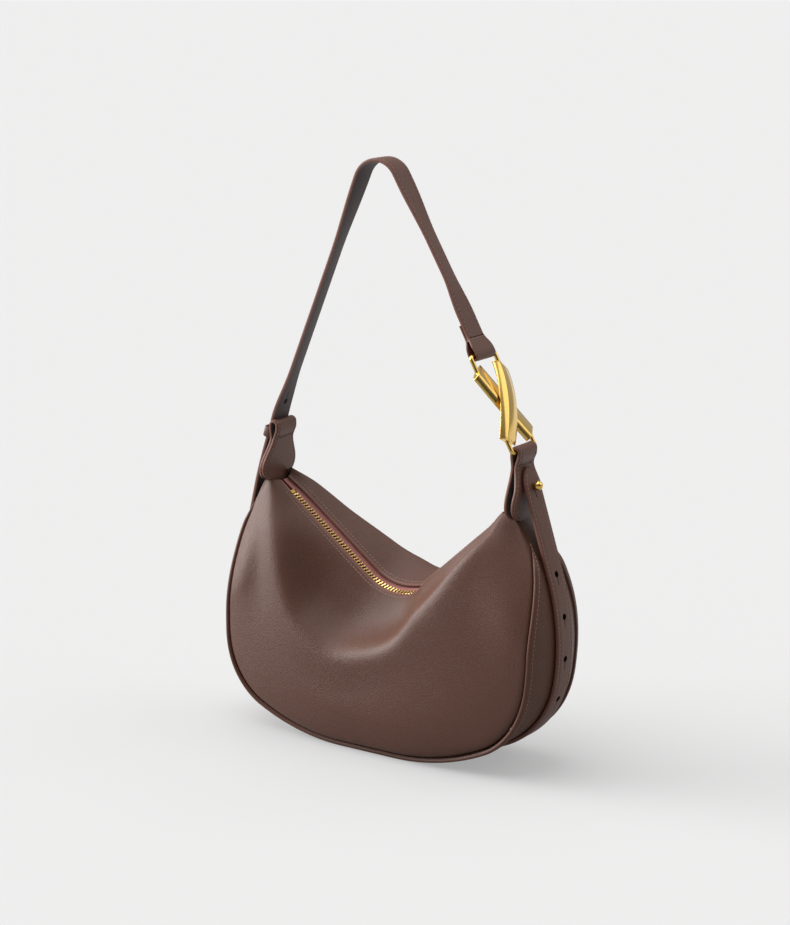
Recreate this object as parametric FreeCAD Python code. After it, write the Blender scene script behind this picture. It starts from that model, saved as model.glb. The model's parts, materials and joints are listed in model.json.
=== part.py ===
import FreeCAD, Part
import math
import os

# Half moon shoulder bag in soft leather, with a belt that runs round the body, in millimetres.
# X runs along the bag, the front faces -Y and Z is up. The bag stands on z = 0.

V = FreeCAD.Vector

# Belt and strap leather
strap_width = 20.0
strap_ply = 1.7
leather = 2.0
lining_cloth = 0.8
tab_leather = 2.2
seat_gap = 0.3

# Body outline seen from the front, from the middle of the base up one side
base_flat = 48.0
base_radius = 190.0
base_turn = 25.0
corner_radius = 70.0
corner_turn = 57.0
side_radius = 170.0
side_turn = 25.5
shoulder_radius = 80.0
shoulder_turn = 17.5
shoulder_run = 28.0

# Body depth: seams, the crown of the gusset, and the slouched front and back
seam_depth = 64.0
end_depth = 16.0
depth_fade = 110.0
side_crown = 7.0
base_crown = -1.4
crest_depth = 42.0
crest_share = 0.27
belly_depth = 46.0
belly_share = 0.62
rim_depth = 30.0
rim_rise = 21.0
back_shoulder_depth = 40.0
back_shoulder_share = 0.3
back_belly_share = 0.66

# How the slouch dies away towards both ends of the mouth
fade_flatness = 2.5
fade_steepness = 0.8
crest_fade = 1.2
rim_rise_fade = 2.0
back_shoulder_fade = 1.3

# Welt strip over each seam
welt_width = 5.4
welt_thickness = 1.8
welt_overhang = 3.2
seam_step = 2.6
seam_drop = 0.4
thread_gap = 0.2

# Zip: the mouth hangs from the ends of the gusset in a V with a rounded bottom
mouth_end_inset = 4.0
mouth_end_drop = 2.75
mouth_low_x = 8.0
mouth_sag = 88.0
mouth_radius = 45.0
mouth_inset = 4.0
slot_half = 6.0
lip_width = 7.0
lip_end_width = 2.0
lip_lift = 3.0
tape_thickness = 0.6
tape_edge = 3.4
tape_outer = 6.6
tooth_pitch = 2.8
tooth_length = 1.5
tooth_half_height = 1.1
tooth_tip = 0.65
bead_half_height = 0.8
bead_width = 1.0
stop_length = 3.0
stop_inset = 16.0
slider_length = 10.5
slider_half_width = 4.7
slider_plate = 1.3
slider_clearance = 0.4
slider_blade = 0.6
flange_thickness = 0.8
pull_length = 24.0
pull_half_width = 3.5
pull_thickness = 1.2
pull_bar_radius = 0.7
crown_width = 2.6

# Strap path above the body; a rise is a height above the ends of the mouth
keeper_bend_rise = 53.4
keeper_bend_radius = 120.0
apex_x = -13.4
apex_rise = 277.4
apex_radius = 22.0
lower_bar_rise = 48.05
lower_bar_out = 2.2
flex_straight = 4.2
flex_gap = 0.5

# Belt end on the right: length past the body, stud and holes
tail_rise = 36.2
tip_taper = 14.0
tip_bulge_share = 0.6
tip_bulge_half = 7.2
stud_rise = 21.9
hole_radius = 2.4
hole_pitch = 31.0
hole_count = 4
first_hole_run = 2.0
slit_length = 8.0
slit_width = 0.6
left_hole_rise = 59.1

# Stud
ball_radius = 3.5
stud_neck = 2.1
screw_head = 4.2
screw_head_height = 0.9
screw_shank = 1.2
screw_reach = 2.5
fit_clearance = 0.05

# Buckle of two crossed bars and two wire loops
wire_radius = 1.6
loop_half = 15.8
loop_bend = 2.6
upper_leg = 11.5
lower_leg = 9.0
leg_socket = 4.0
buckle_span = 74.8
bar_half_width = 8.4
bar_end_half_width = 8.0
bar_rise = 3.4
bar_belly = 2.4
facet_swell = 0.4
front_bar_bow = 6.0
back_bar_bow = -0.2
bar_sections = 9
tangent_step = 0.01

# Folds of leather round the wire loops
fold_width = 25.0
fold_clearance = 0.35
fold_sides = 3.5
chape_slack = 0.85
chape_reach = 0.9
chape_return = 40.0
chape_neck = 16.0
chape_bend = 25.0
fold_roundness = 0.98
flare_start = 25.0
flare_end = 8.0

# Tabs at both ends of the mouth
neck_rise = 38.1
left_neck_drop = 10.0
left_fold_rise = 41.0
knee_rise = 13.3
knee_bend = 26.0
neck_bend = 8.0
fold_shoulder = 6.0
lobe_radius = 12.5
waist_half = 10.0
waist_rise = 17.0
foot_inset = 5.0
outer_foot_rise = 7.0
foot_gap = 1.1
keeper_rise = 36.2
keeper_height = 8.0
keeper_wall = 1.6

# The handle hinges about a line through both ends of the mouth
hinge_drop = 2.0
hinge_radius = 16.0
hinge_gap = 0.3

# Facets of the curved sheets
station_count = 33
column_count = 8
lining_skip_count = 3
gusset_column_count = 6
welt_column_count = 3
sew_tolerance = 0.001


class Track:
    """A chain of tangent lines and arcs in the XZ plane; offsets go to its left."""

    def __init__(self, x, z, heading):
        self.x = x
        self.z = z
        self.heading = heading
        self.spans = []
        self.length = 0.0

    def add(self, length, turn):
        self.spans.append((self.length, length, self.x, self.z, self.heading, turn))
        end = self.at_span(self.spans[-1], length, 0.0)
        self.x = end.x
        self.z = end.z
        self.heading += turn
        self.length += length
        return self

    def line(self, length):
        return self.add(length, 0.0)

    def arc(self, radius, turn_degrees):
        turn = math.radians(turn_degrees)
        return self.add(radius * abs(turn), turn)

    @staticmethod
    def at_span(span, run, offset):
        _, length, x, z, heading, turn = span
        bend = turn / length
        now = heading + bend * run
        if turn:
            x += (math.sin(now) - math.sin(heading)) / bend
            z -= (math.cos(now) - math.cos(heading)) / bend
        else:
            x += run * math.cos(heading)
            z += run * math.sin(heading)
        return V(x - offset * math.sin(now), 0, z + offset * math.cos(now))

    def span_at(self, run):
        for span in self.spans:
            if run <= span[0] + span[1]:
                return span
        return self.spans[-1]

    def at(self, run, offset=0.0):
        span = self.span_at(run)
        return self.at_span(span, run - span[0], offset)

    def heading_at(self, run):
        span = self.span_at(run)
        return span[4] + span[5] * (run - span[0]) / span[1]

    def edges(self, offset):
        made = []
        for span in self.spans:
            first, middle, last = [self.at_span(span, span[1] * f, offset) for f in (0.0, 0.5, 1.0)]
            curve = Part.Arc(first, middle, last) if span[5] else Part.LineSegment(first, last)
            made.append(curve.toShape())
        return made


def rounded_track(points, radii):
    """Track through corner points, each inner corner rounded by its radius."""
    headings = []
    for a, b in zip(points, points[1:]):
        headings.append(math.atan2(b.z - a.z, b.x - a.x))
    turns = []
    for before, after in zip(headings, headings[1:]):
        turns.append((after - before + math.pi) % (2 * math.pi) - math.pi)
    cuts = [0.0] + [r * math.tan(abs(t) / 2) for r, t in zip(radii, turns)] + [0.0]
    track = Track(points[0].x, points[0].z, headings[0])
    for i, (a, b) in enumerate(zip(points, points[1:])):
        track.line(a.distanceToPoint(b) - cuts[i] - cuts[i + 1])
        if i < len(turns):
            track.arc(radii[i], math.degrees(turns[i]))
    return track


def band(track, near, far, y_low, y_high):
    """Solid strip along a track, between two offsets and two places across."""
    inner = track.edges(near)
    outer = track.edges(far)
    first = Part.LineSegment(track.at(0.0, near), track.at(0.0, far)).toShape()
    last = Part.LineSegment(track.at(track.length, near), track.at(track.length, far)).toShape()
    wire = Part.Wire(Part.__sortEdges__(inner + outer + [first, last]))
    solid = Part.Face(wire).extrude(V(0, y_high - y_low, 0))
    solid.translate(V(0, y_low, 0))
    return solid


def mirrored(shape):
    return shape.mirror(V(0, 0, 0), V(1, 0, 0))


def flipped(point):
    return V(-point.x, point.y, point.z)


def mix(a, b, share):
    return a + (b - a) * share


def save(name, shape):
    shape.exportStep("parts/" + name + ".step")


# Belt lines: the gusset's outer middle line, and the straight run that leaves it for the tabs

spine_base = seat_gap + 2 * strap_ply


def half_spine():
    track = Track(0.0, spine_base, 0.0).line(base_flat / 2)
    track.arc(base_radius, base_turn)
    track.arc(corner_radius, corner_turn)
    return track.arc(side_radius, side_turn)


hug_run = half_spine().length
gusset_line = half_spine().arc(shoulder_radius, shoulder_turn).line(shoulder_run)
mouth_half = gusset_line.x - mouth_end_inset
mouth_height = gusset_line.z - mouth_end_drop
mouth_left = V(-mouth_half, 0, mouth_height)
mouth_low = V(mouth_low_x, 0, mouth_height - mouth_sag)
mouth_right = V(mouth_half, 0, mouth_height)
zip_line = rounded_track([mouth_left, mouth_low, mouth_right], [mouth_radius])


def straight_run(rise):
    """Length of straight belt from where it leaves the body to a height above the mouth."""
    leaving = half_spine()
    return (mouth_height + rise - leaving.z) / math.sin(leaving.heading)


belt_line = half_spine().line(straight_run(keeper_bend_rise))
stud_run = straight_run(stud_rise)
tail_run = straight_run(tail_rise)
neck_run = straight_run(neck_rise)
knee_run = straight_run(knee_rise)
keeper_run = straight_run(keeper_rise)
left_fold_run = straight_run(left_fold_rise)
left_hole_run = straight_run(left_hole_rise)
hinge_height = mouth_height - hinge_drop
waist_height = mouth_height + waist_rise


# Curved leather sheets of the body

def smooth_fade(k):
    """One in the middle of the bag, falling to nothing at both ends of the mouth."""
    return (1 - abs(k) ** fade_flatness) ** fade_steepness


def half_depth(run):
    """Half the distance between the seams at a run up the gusset."""
    start = gusset_line.length - depth_fade
    share = min(1.0, max(0.0, (run - start) / depth_fade))
    ease = 0.5 - 0.5 * math.cos(math.pi * share)
    return seam_depth / 2 + (end_depth - seam_depth) / 2 * ease


def gusset_point(k, y, lift):
    """Point on the gusset: k runs from the left end (-1) to the right end (1)."""
    run = abs(k) * gusset_line.length
    rise = math.sin(gusset_line.heading_at(run)) ** 2
    full = (half_depth(run) * 2 / seam_depth) ** 2
    crown = (base_crown + (side_crown - base_crown) * rise) * full
    point = gusset_line.at(run, crown * (y / half_depth(run)) ** 2 - lift)
    return V(math.copysign(point.x, k), y, point.z)


def seam_point(k, side):
    half = half_depth(abs(k) * gusset_line.length) + seam_step
    return gusset_point(k, side * half, -seam_drop)


def mouth_point(k, y, lift):
    usable = zip_line.length - 2 * mouth_inset
    point = zip_line.at(mouth_inset + usable * (k + 1) / 2, lift)
    return V(point.x, y, point.z)


def lip_reach(fade):
    """How far the leather lies flat beside the zip before it falls or rises."""
    return slot_half + lip_end_width + (lip_width - lip_end_width) * fade


def front_rails(k):
    """Points down the front at k: zip lip, slouched crest, belly and seam."""
    fade = smooth_fade(k)
    seam = seam_point(k, -1)
    edge = mouth_point(k, -slot_half, lip_lift)
    lip = mouth_point(k, -lip_reach(fade), lip_lift)
    end_y = end_depth / 2 + seam_step
    crest = mix(edge, seam, crest_share)
    crest.y = -end_y - (crest_depth - end_y) * fade ** crest_fade
    belly = mix(edge, seam, belly_share)
    belly.y = seam.y - (belly_depth - seam_depth / 2 - seam_step) * fade
    return [edge, lip, crest, belly, seam]


def back_rails(k):
    """Points down the back at k: zip lip, the rim that stands behind it, shoulder, belly and seam."""
    fade = smooth_fade(k)
    seam = seam_point(k, 1)
    edge = mouth_point(k, slot_half, lip_lift)
    lip = mouth_point(k, lip_reach(fade), lip_lift)
    end_y = end_depth / 2 + seam_step
    rim = edge + V(0, 0, rim_rise * fade ** rim_rise_fade)
    rim.y = end_y + (rim_depth - end_y) * fade ** crest_fade
    shoulder = mix(rim, seam, back_shoulder_share)
    shoulder.y = end_y + (back_shoulder_depth - end_y) * fade ** back_shoulder_fade
    belly = mix(rim, seam, back_belly_share)
    belly.y = seam.y + (belly_depth - seam_depth / 2 - seam_step) * fade
    return [edge, lip, rim, shoulder, belly, seam]


def rail_grid(rails):
    """Rows of points along the bag, each row on a smooth curve that the rails pull."""
    grid = []
    for i in range(station_count):
        curve = Part.BSplineCurve()
        curve.buildFromPoles(rails(2 * i / (station_count - 1) - 1))
        low, high = curve.FirstParameter, curve.LastParameter
        row = []
        for j in range(column_count):
            row.append(curve.value(low + (high - low) * j / (column_count - 1)))
        grid.append(row)
    return grid


def strip_grid(y_low, y_high, lift, rows_across):
    """Points over the gusset between two places across, given as functions of the run."""
    grid = []
    for i in range(station_count):
        k = 2 * i / (station_count - 1) - 1
        run = abs(k) * gusset_line.length
        row = []
        for j in range(rows_across):
            y = y_low(run) + (y_high(run) - y_low(run)) * j / (rows_across - 1)
            row.append(gusset_point(k, y, lift))
        grid.append(row)
    return grid


def shifted_grid(grid, depth):
    """The same points moved along the surface's own normals."""
    rows = len(grid)
    columns = len(grid[0])
    moved = []
    for i in range(rows):
        row = []
        for j in range(columns):
            along = grid[min(i + 1, rows - 1)][j] - grid[max(i - 1, 0)][j]
            across = grid[i][min(j + 1, columns - 1)] - grid[i][max(j - 1, 0)]
            row.append(grid[i][j] + along.cross(across).normalize() * depth)
        moved.append(row)
    return moved


def sheet(grid, outer, inner, columns=None):
    """Closed faceted solid between two shifted copies of a grid, over a slice of its columns."""
    kept = columns or slice(None)
    layers = [[row[kept] for row in shifted_grid(grid, depth)] for depth in (outer, inner)]
    last_row = len(layers[0]) - 1
    last_column = len(layers[0][0]) - 1
    facets = []

    def quad(a, b, c, d):
        facets.append((a, b, c))
        facets.append((a, c, d))

    for i in range(last_row):
        for j in range(last_column):
            for layer in layers:
                quad(layer[i][j], layer[i + 1][j], layer[i + 1][j + 1], layer[i][j + 1])
        for j in (0, last_column):
            quad(layers[0][i][j], layers[0][i + 1][j], layers[1][i + 1][j], layers[1][i][j])
    for j in range(last_column):
        for i in (0, last_row):
            quad(layers[0][i][j], layers[0][i][j + 1], layers[1][i][j + 1], layers[1][i][j])
    faces = [Part.Face(Part.makePolygon([a, b, c, a])) for a, b, c in facets]
    shell = Part.Shell(faces)
    shell.sewShape(sew_tolerance)
    solid = Part.Solid(shell)
    if solid.Volume < 0:
        solid.reverse()
    return solid


def make_body_leather():
    front = rail_grid(front_rails)
    back = rail_grid(back_rails)
    gusset = strip_grid(lambda run: -half_depth(run), half_depth, 0.0, gusset_column_count)
    save("front_panel", sheet(front, 0.0, leather))
    save("back_panel", sheet(back, 0.0, -leather))
    save("gusset", sheet(gusset, 0.0, leather))
    for name, side in (("front_welt", -1), ("back_welt", 1)):
        def edge(run):
            return side * (half_depth(run) + welt_overhang)

        def inside(run):
            return side * (half_depth(run) + welt_overhang - welt_width)

        grid = strip_grid(edge, inside, thread_gap, welt_column_count)
        save(name, sheet(grid, 0.0, side * welt_thickness))
    first = leather + seat_gap
    second = first + lining_cloth
    hidden = slice(lining_skip_count, -1)
    save("front_lining", sheet(front, first, second, hidden))
    save("back_lining", sheet(back, -first, -second, hidden))
    save("gusset_lining", sheet(gusset, first, second, slice(1, -1)))


# Zip

def along_zip(shape, run):
    """Place a shape modelled flat, with X up the zip and Z off its face, at a run along the zip."""
    shape.rotate(V(0, 0, 0), V(0, 1, 0), -math.degrees(zip_line.heading_at(run)))
    shape.translate(zip_line.at(run))
    return shape


def block(length, y_low, y_high, z_low, z_high):
    return Part.makeBox(length, y_high - y_low, z_high - z_low, V(-length / 2, y_low, z_low))


def zip_part(first, last):
    """The zip line between two runs, for tapes and beads."""
    track = Track(zip_line.at(first).x, zip_line.at(first).z, zip_line.heading_at(first))
    for start, length, _, _, _, turn in zip_line.spans:
        low = max(first, start)
        high = min(last, start + length)
        track.add(high - low, turn * (high - low) / length)
    return track


def make_zip_rows():
    tape = zip_part(mouth_inset, zip_line.length - mouth_inset)
    first = stop_inset + stop_length
    last = zip_line.length - stop_inset - stop_length
    bead = zip_part(first, last)
    count = int((last - first - tooth_length) / tooth_pitch) + 1
    for name, side in (("front", -1), ("back", 1)):
        def span(near, far):
            return sorted((side * near, side * far))

        half = tape_thickness / 2
        save("zip_tape_" + name, band(tape, -half, half, *span(tape_edge, tape_outer)))
        row = band(bead, -bead_half_height, bead_half_height, *span(tape_edge - bead_width, tape_edge))
        teeth = []
        for i in range(count):
            low, high = span(tooth_tip, tape_edge - bead_width / 2)
            tooth = block(tooth_length, low, high, -tooth_half_height, tooth_half_height)
            teeth.append(along_zip(tooth, first + tooth_length / 2 + i * tooth_pitch))
        save("zip_teeth_" + name, row.multiFuse(teeth).removeSplitter())
    bottom = block(stop_length, -tape_edge, tape_edge, -tooth_half_height, tooth_half_height)
    save("zip_bottom_stop", along_zip(bottom, stop_inset + stop_length / 2))
    stops = []
    for side in (-1, 1):
        low, high = sorted((side * tooth_tip, side * tape_edge))
        stop = block(stop_length, low, high, -tooth_half_height, tooth_half_height)
        stops.append(along_zip(stop, zip_line.length - stop_inset - stop_length / 2))
    save("zip_top_stops", Part.makeCompound(stops))


slider_run = zip_line.length - stop_inset - stop_length - slider_clearance - slider_length / 2
plate_low = tooth_half_height + slider_clearance
plate_high = plate_low + slider_plate
pull_axis_height = plate_high + pull_bar_radius + slider_clearance


def slider_plate_face():
    """Shield outline of a slider plate: wide at the mouth, narrower at the closed end."""
    half = slider_length / 2
    wide = slider_half_width
    narrow = slider_half_width - flange_thickness
    outline = [(half, narrow), (half, -narrow), (0, -wide), (-half, -wide), (-half, wide), (0, wide)]
    corners = [V(x, y, 0) for x, y in outline]
    return Part.Face(Part.makePolygon(corners + corners[:1]))


def make_slider():
    plate = slider_plate_face().extrude(V(0, 0, slider_plate))
    solid = plate.copy()
    solid.translate(V(0, 0, plate_low))
    under = plate.copy()
    under.translate(V(0, 0, -plate_high))
    blade_length = slider_length / 3
    blade = block(blade_length, -slider_blade / 2, slider_blade / 2, -plate_high, plate_high)
    blade.translate(V(slider_length / 2 - blade_length / 2, 0, 0))
    pieces = [under, blade]
    flange_low = tape_thickness / 2 + slider_clearance
    for side in (-1, 1):
        low, high = sorted((side * (slider_half_width - flange_thickness), side * slider_half_width))
        for z_low, z_high in ((flange_low, plate_high), (-plate_high, -flange_low)):
            flange = block(slider_length / 2, low, high, z_low, z_high)
            flange.translate(V(-slider_length / 4, 0, 0))
            pieces.append(flange)
    eye = pull_bar_radius + slider_clearance / 2
    crown_top = pull_axis_height + eye + flange_thickness
    crown = block(crown_width * 2, -crown_width / 2, crown_width / 2, plate_high, crown_top)
    top_edges = []
    for edge in crown.Edges:
        box = edge.BoundBox
        if box.ZMin > pull_axis_height and box.YLength > crown_width / 2:
            top_edges.append(edge)
    crown = crown.makeFillet(crown_width / 2, top_edges)
    pieces.append(crown)
    solid = solid.multiFuse(pieces).removeSplitter()
    hole = Part.makeCylinder(eye, 2 * crown_width, V(0, -crown_width, pull_axis_height), V(0, 1, 0))
    solid = solid.cut(hole)
    save("zip_slider", along_zip(solid, slider_run))


def make_pull():
    arm = pull_half_width - crown_width / 2 - slider_clearance
    room = pull_half_width - arm
    thick = pull_thickness / 2
    window_length = 2 * crown_width
    straight = pull_length - pull_half_width
    tab = block(straight, -pull_half_width, pull_half_width, -thick, thick)
    tab.translate(V(-straight / 2, 0, 0))
    end = Part.makeCylinder(pull_half_width, pull_thickness, V(-straight, 0, -thick))
    window = block(window_length, -room, room, -pull_thickness, pull_thickness)
    window.translate(V(-window_length / 2, 0, 0))
    hole = Part.makeCylinder(pull_half_width / 2, 2 * pull_thickness, V(-straight, 0, -pull_thickness))
    bar = Part.makeCylinder(pull_bar_radius, 2 * pull_half_width, V(0, -pull_half_width, 0), V(0, 1, 0))
    solid = tab.fuse(end).cut(window).cut(hole).fuse(bar).removeSplitter()
    solid.translate(V(0, 0, pull_axis_height))
    save("zip_pull", along_zip(solid, slider_run))


# Strap and belt

inner_face = seat_gap
mid_face = seat_gap + strap_ply
outer_face = seat_gap + 2 * strap_ply
outer_middle = mid_face + strap_ply / 2
return_middle = inner_face - thread_gap - strap_ply / 2
loop_offset = (outer_middle + return_middle) / 2
strap_half = strap_width / 2
fold_half = fold_width / 2

# The right run hangs from the top bend so that the buckle's lower bar comes to its tab
leave_left = flipped(belt_line.at(hug_run))
keeper_bend = flipped(belt_line.at(belt_line.length))
apex = V(apex_x, 0, mouth_height + apex_rise)
lower_bar = belt_line.at(hug_run + straight_run(lower_bar_rise), -lower_bar_out)
bar_way = lower_bar - apex
run_heading = math.atan2(bar_way.z, bar_way.x) - math.asin(loop_offset / bar_way.Length)
run_way = V(math.cos(run_heading), 0, math.sin(run_heading))
run_out = V(-run_way.z, 0, run_way.x)
chape_end = apex + run_way * (bar_way.dot(run_way) - buckle_span)
top_turn = (apex - keeper_bend).getAngle(run_way)
flex_run = apex_radius * math.tan(top_turn / 2) + flex_straight
flex_point = apex + run_way * flex_run


def on_run(along, out):
    """Point in the plane of the right run: along it from the wire loop, and out from it."""
    return chape_end + run_way * along + run_out * out


def below_hinge(gap):
    """Room that turns with the bag: a cylinder about the hinge line and all below it."""
    long = 4 * mouth_half
    drum = Part.makeCylinder(hinge_radius + gap, long, V(-long / 2, 0, hinge_height), V(1, 0, 0))
    low = Part.makeBox(long, long, long, V(-long / 2, -long / 2, hinge_height - long))
    return drum.fuse(low)


bag_room = below_hinge(0.0)
swing_room = below_hinge(hinge_gap)


def punch(point, out, way):
    """A stud hole and the slit below it, as a cutter through a strap."""
    depth = 4 * strap_ply
    hole = Part.makeCylinder(hole_radius, 2 * depth, point - out * depth, out)
    slit = Part.makeBox(slit_length, slit_width, 2 * depth, V(0, -slit_width / 2, -depth))
    slit.Placement = FreeCAD.Placement(point, FreeCAD.Rotation(way, V(0, 1, 0), out, "ZXY"))
    return hole.fuse(slit)


def belt_normal(run):
    heading = belt_line.heading_at(run)
    return V(math.sin(heading), 0, -math.cos(heading))


def belt_way(run):
    heading = belt_line.heading_at(run)
    return V(math.cos(heading), 0, math.sin(heading))


def tip_outline():
    """Belt end seen square on: straight sides drawn in by two arcs to a rounded point."""
    run = hug_run + tail_run
    base = belt_line.at(hug_run) - belt_way(run) * strap_width
    way = belt_way(run)
    start = base + way * (tail_run + strap_width - tip_taper)
    tip = base + way * (tail_run + strap_width)
    side = V(0, strap_half, 0)
    bulge = mix(start, tip, tip_bulge_share)
    swell = V(0, tip_bulge_half, 0)
    corners = [start - side, base - side, base + side, start + side]
    edges = [Part.LineSegment(a, b).toShape() for a, b in zip(corners, corners[1:])]
    edges.append(Part.Arc(start + side, bulge + swell, tip).toShape())
    edges.append(Part.Arc(tip, bulge - swell, start - side).toShape())
    out = belt_normal(run)
    face = Part.Face(Part.Wire(edges))
    face.translate(out * -strap_width)
    return face.extrude(out * 2 * strap_width)


def make_belt():
    right = half_spine().line(tail_run)
    left = belt_line
    outline = tip_outline()
    lower_part = V(-2 * mouth_half, -strap_half, 0)
    straight = Part.makeBox(4 * mouth_half, strap_width, belt_line.at(hug_run).z, lower_part)
    cutters = []
    for i in range(hole_count):
        run = hug_run + first_hole_run - i * hole_pitch
        cutters.append(punch(belt_line.at(run), belt_normal(run), belt_way(run) * -1))
    stud = hug_run + stud_run
    cutters.append(punch(belt_line.at(stud), belt_normal(stud), belt_way(stud) * -1))
    for name, near, far in (("lining", inner_face, mid_face), ("outer", mid_face, outer_face)):
        ply = band(right, -far, -near, -strap_half, strap_half)
        ply = ply.common(straight.fuse(outline))
        for cutter in cutters:
            ply = ply.cut(cutter)
        other = mirrored(band(left, -far, -near, -strap_half, strap_half))
        lower = ply.common(bag_room).fuse(other.common(bag_room)).removeSplitter()
        save("belt_" + name, lower)
        save("belt_tip_" + name, ply.cut(swing_room))


def make_shoulder_strap():
    track = rounded_track([leave_left, keeper_bend, apex, flex_point], [keeper_bend_radius, apex_radius])
    heading = track.heading_at(left_hole_run)
    way = V(math.cos(heading), 0, math.sin(heading))
    hole = punch(track.at(left_hole_run), V(-way.z, 0, way.x), way)
    for name, near, far in (("lining", inner_face, mid_face), ("outer", mid_face, outer_face)):
        ply = band(track, near, far, -strap_half, strap_half)
        save("shoulder_strap_" + name, ply.cut(hole).cut(swing_room))


def flare_outline():
    """The right run seen square on: a plain strap that widens to fill the wire loop."""
    top = -flare_start - chape_end.distanceToPoint(apex)
    sides = [(top, strap_half), (-flare_start, strap_half)]
    sides += [(-flare_end, fold_half), (fold_width, fold_half)]
    corners = [on_run(along, -fold_width) + V(0, y, 0) for along, y in sides]
    corners += [on_run(along, -fold_width) - V(0, y, 0) for along, y in sides[::-1]]
    return Part.Face(Part.makePolygon(corners + corners[:1])).extrude(run_out * 2 * fold_width)


def make_strap_drop():
    """Right run of the strap: its outer ply folds round the upper wire loop and returns inside."""
    start = (flex_point - chape_end).dot(run_way) + flex_gap
    radius = wire_radius + chape_slack + strap_ply / 2
    end = radius - chape_slack + chape_reach
    corners = [
        on_run(start, outer_middle),
        on_run(-chape_neck, outer_middle),
        on_run(-fold_sides, loop_offset + radius),
        on_run(end, loop_offset + radius),
        on_run(end, loop_offset - radius),
        on_run(-fold_sides, loop_offset - radius),
        on_run(-chape_neck, return_middle),
        on_run(-chape_return, return_middle),
    ]
    bend = radius * fold_roundness
    outer = rounded_track(corners, [chape_bend, neck_bend, bend, bend, neck_bend, chape_bend])
    inner = rounded_track([on_run(start, 0), on_run(-chape_neck, 0)], [])
    outline = flare_outline()
    ply = band(outer, -strap_ply / 2, strap_ply / 2, -fold_half, fold_half)
    save("strap_drop_outer", ply.common(outline))
    ply = band(inner, inner_face, mid_face, -fold_half, fold_half)
    save("strap_drop_lining", ply.common(outline))


# Buckle

def on_buckle(along, y, out):
    return on_run(along, loop_offset + out) + V(0, y, 0)


def wire_loop(bar, legs):
    """U of round wire: its bar lies across at one place along the run, its legs reach to another."""
    way = math.copysign(1, legs - bar)
    bend = way * loop_bend
    flat = loop_half - loop_bend
    pieces = [Part.makeCylinder(wire_radius, 2 * flat, on_buckle(bar, -flat, 0), V(0, 1, 0))]
    for side in (-1, 1):
        foot = on_buckle(bar + bend, side * loop_half, 0)
        leg = abs(legs - bar) - loop_bend
        pieces.append(Part.makeCylinder(wire_radius, leg, foot, run_way * way))
        circle = Part.makeCircle(wire_radius, on_buckle(bar, side * flat, 0), V(0, 1, 0))
        disc = Part.Face(Part.Wire([circle]))
        pivot = on_buckle(bar + bend, side * flat, 0)
        pieces.append(disc.revolve(pivot, run_out * (-side * way), 90))
    return pieces[0].multiFuse(pieces[1:]).removeSplitter()


def crossed_bar(side, bow):
    """Bar with two facets and a ridge that slants from one loop's leg to the other loop's far leg."""
    first = upper_leg
    last = buckle_span - lower_leg

    def centre(share):
        y = side * loop_half * (1 - 2 * share)
        return on_buckle(first + (last - first) * share, y, 4 * bow * share * (1 - share))

    sections = []
    for i in range(bar_sections):
        share = i / (bar_sections - 1)
        ahead = centre(share + tangent_step) - centre(share - tangent_step)
        across = ahead.cross(run_out).normalize()
        out = across.cross(ahead).normalize()
        swell = math.sin(math.pi * share)
        width = bar_end_half_width + (bar_half_width - bar_end_half_width) * swell
        left = centre(share) - across * width
        right = centre(share) + across * width
        ridge = centre(share) + out * bar_rise
        facets = [Part.Arc(a, mix(a, b, 0.5) + out * facet_swell, b) for a, b in ((left, ridge), (ridge, right))]
        bottom = Part.Arc(right, centre(share) - out * bar_belly, left)
        sections.append(Part.Wire([edge.toShape() for edge in facets + [bottom]]))
    return Part.makeLoft(sections, True, False)


def make_buckle():
    first = upper_leg
    last = buckle_span - lower_leg
    sockets = []
    for side in (-1, 1):
        for start, way in ((first, 1), (last, -1)):
            point = on_buckle(start - way * leg_socket, side * loop_half, 0)
            bore = wire_radius + fit_clearance
            sockets.append(Part.makeCylinder(bore, 2 * leg_socket, point, run_way * way))
    for name, side, bow in (("front", 1, front_bar_bow), ("back", -1, back_bar_bow)):
        bar = crossed_bar(side, bow)
        for socket in sockets:
            bar = bar.cut(socket)
        save("buckle_" + name + "_bar", bar)
    reach = leg_socket - fit_clearance
    save("buckle_upper_loop", wire_loop(0.0, first + reach))
    save("buckle_lower_loop", wire_loop(buckle_span, last - reach))


# Tabs

fold_radius = wire_radius + fold_clearance + tab_leather / 2


def tab_sheet(fold, neck, knee, foot_out, foot_in):
    """Leather folded over a loop: outer leaf, fold and inner leaf in one strip, for the right side."""
    corners = [
        foot_out,
        knee,
        neck,
        fold + V(fold_radius, 0, -fold_sides),
        fold + V(fold_radius, 0, fold_radius),
        fold + V(-fold_radius, 0, fold_radius),
        fold + V(-fold_radius, 0, -fold_sides),
        neck - V(tab_leather + thread_gap, 0, 0),
        foot_in,
    ]
    bend = fold_radius * fold_roundness
    radii = [knee_bend, neck_bend, neck_bend, bend, bend, neck_bend, neck_bend]
    track = rounded_track(corners, radii)
    return band(track, -tab_leather / 2, tab_leather / 2, -fold_half, fold_half)


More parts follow.
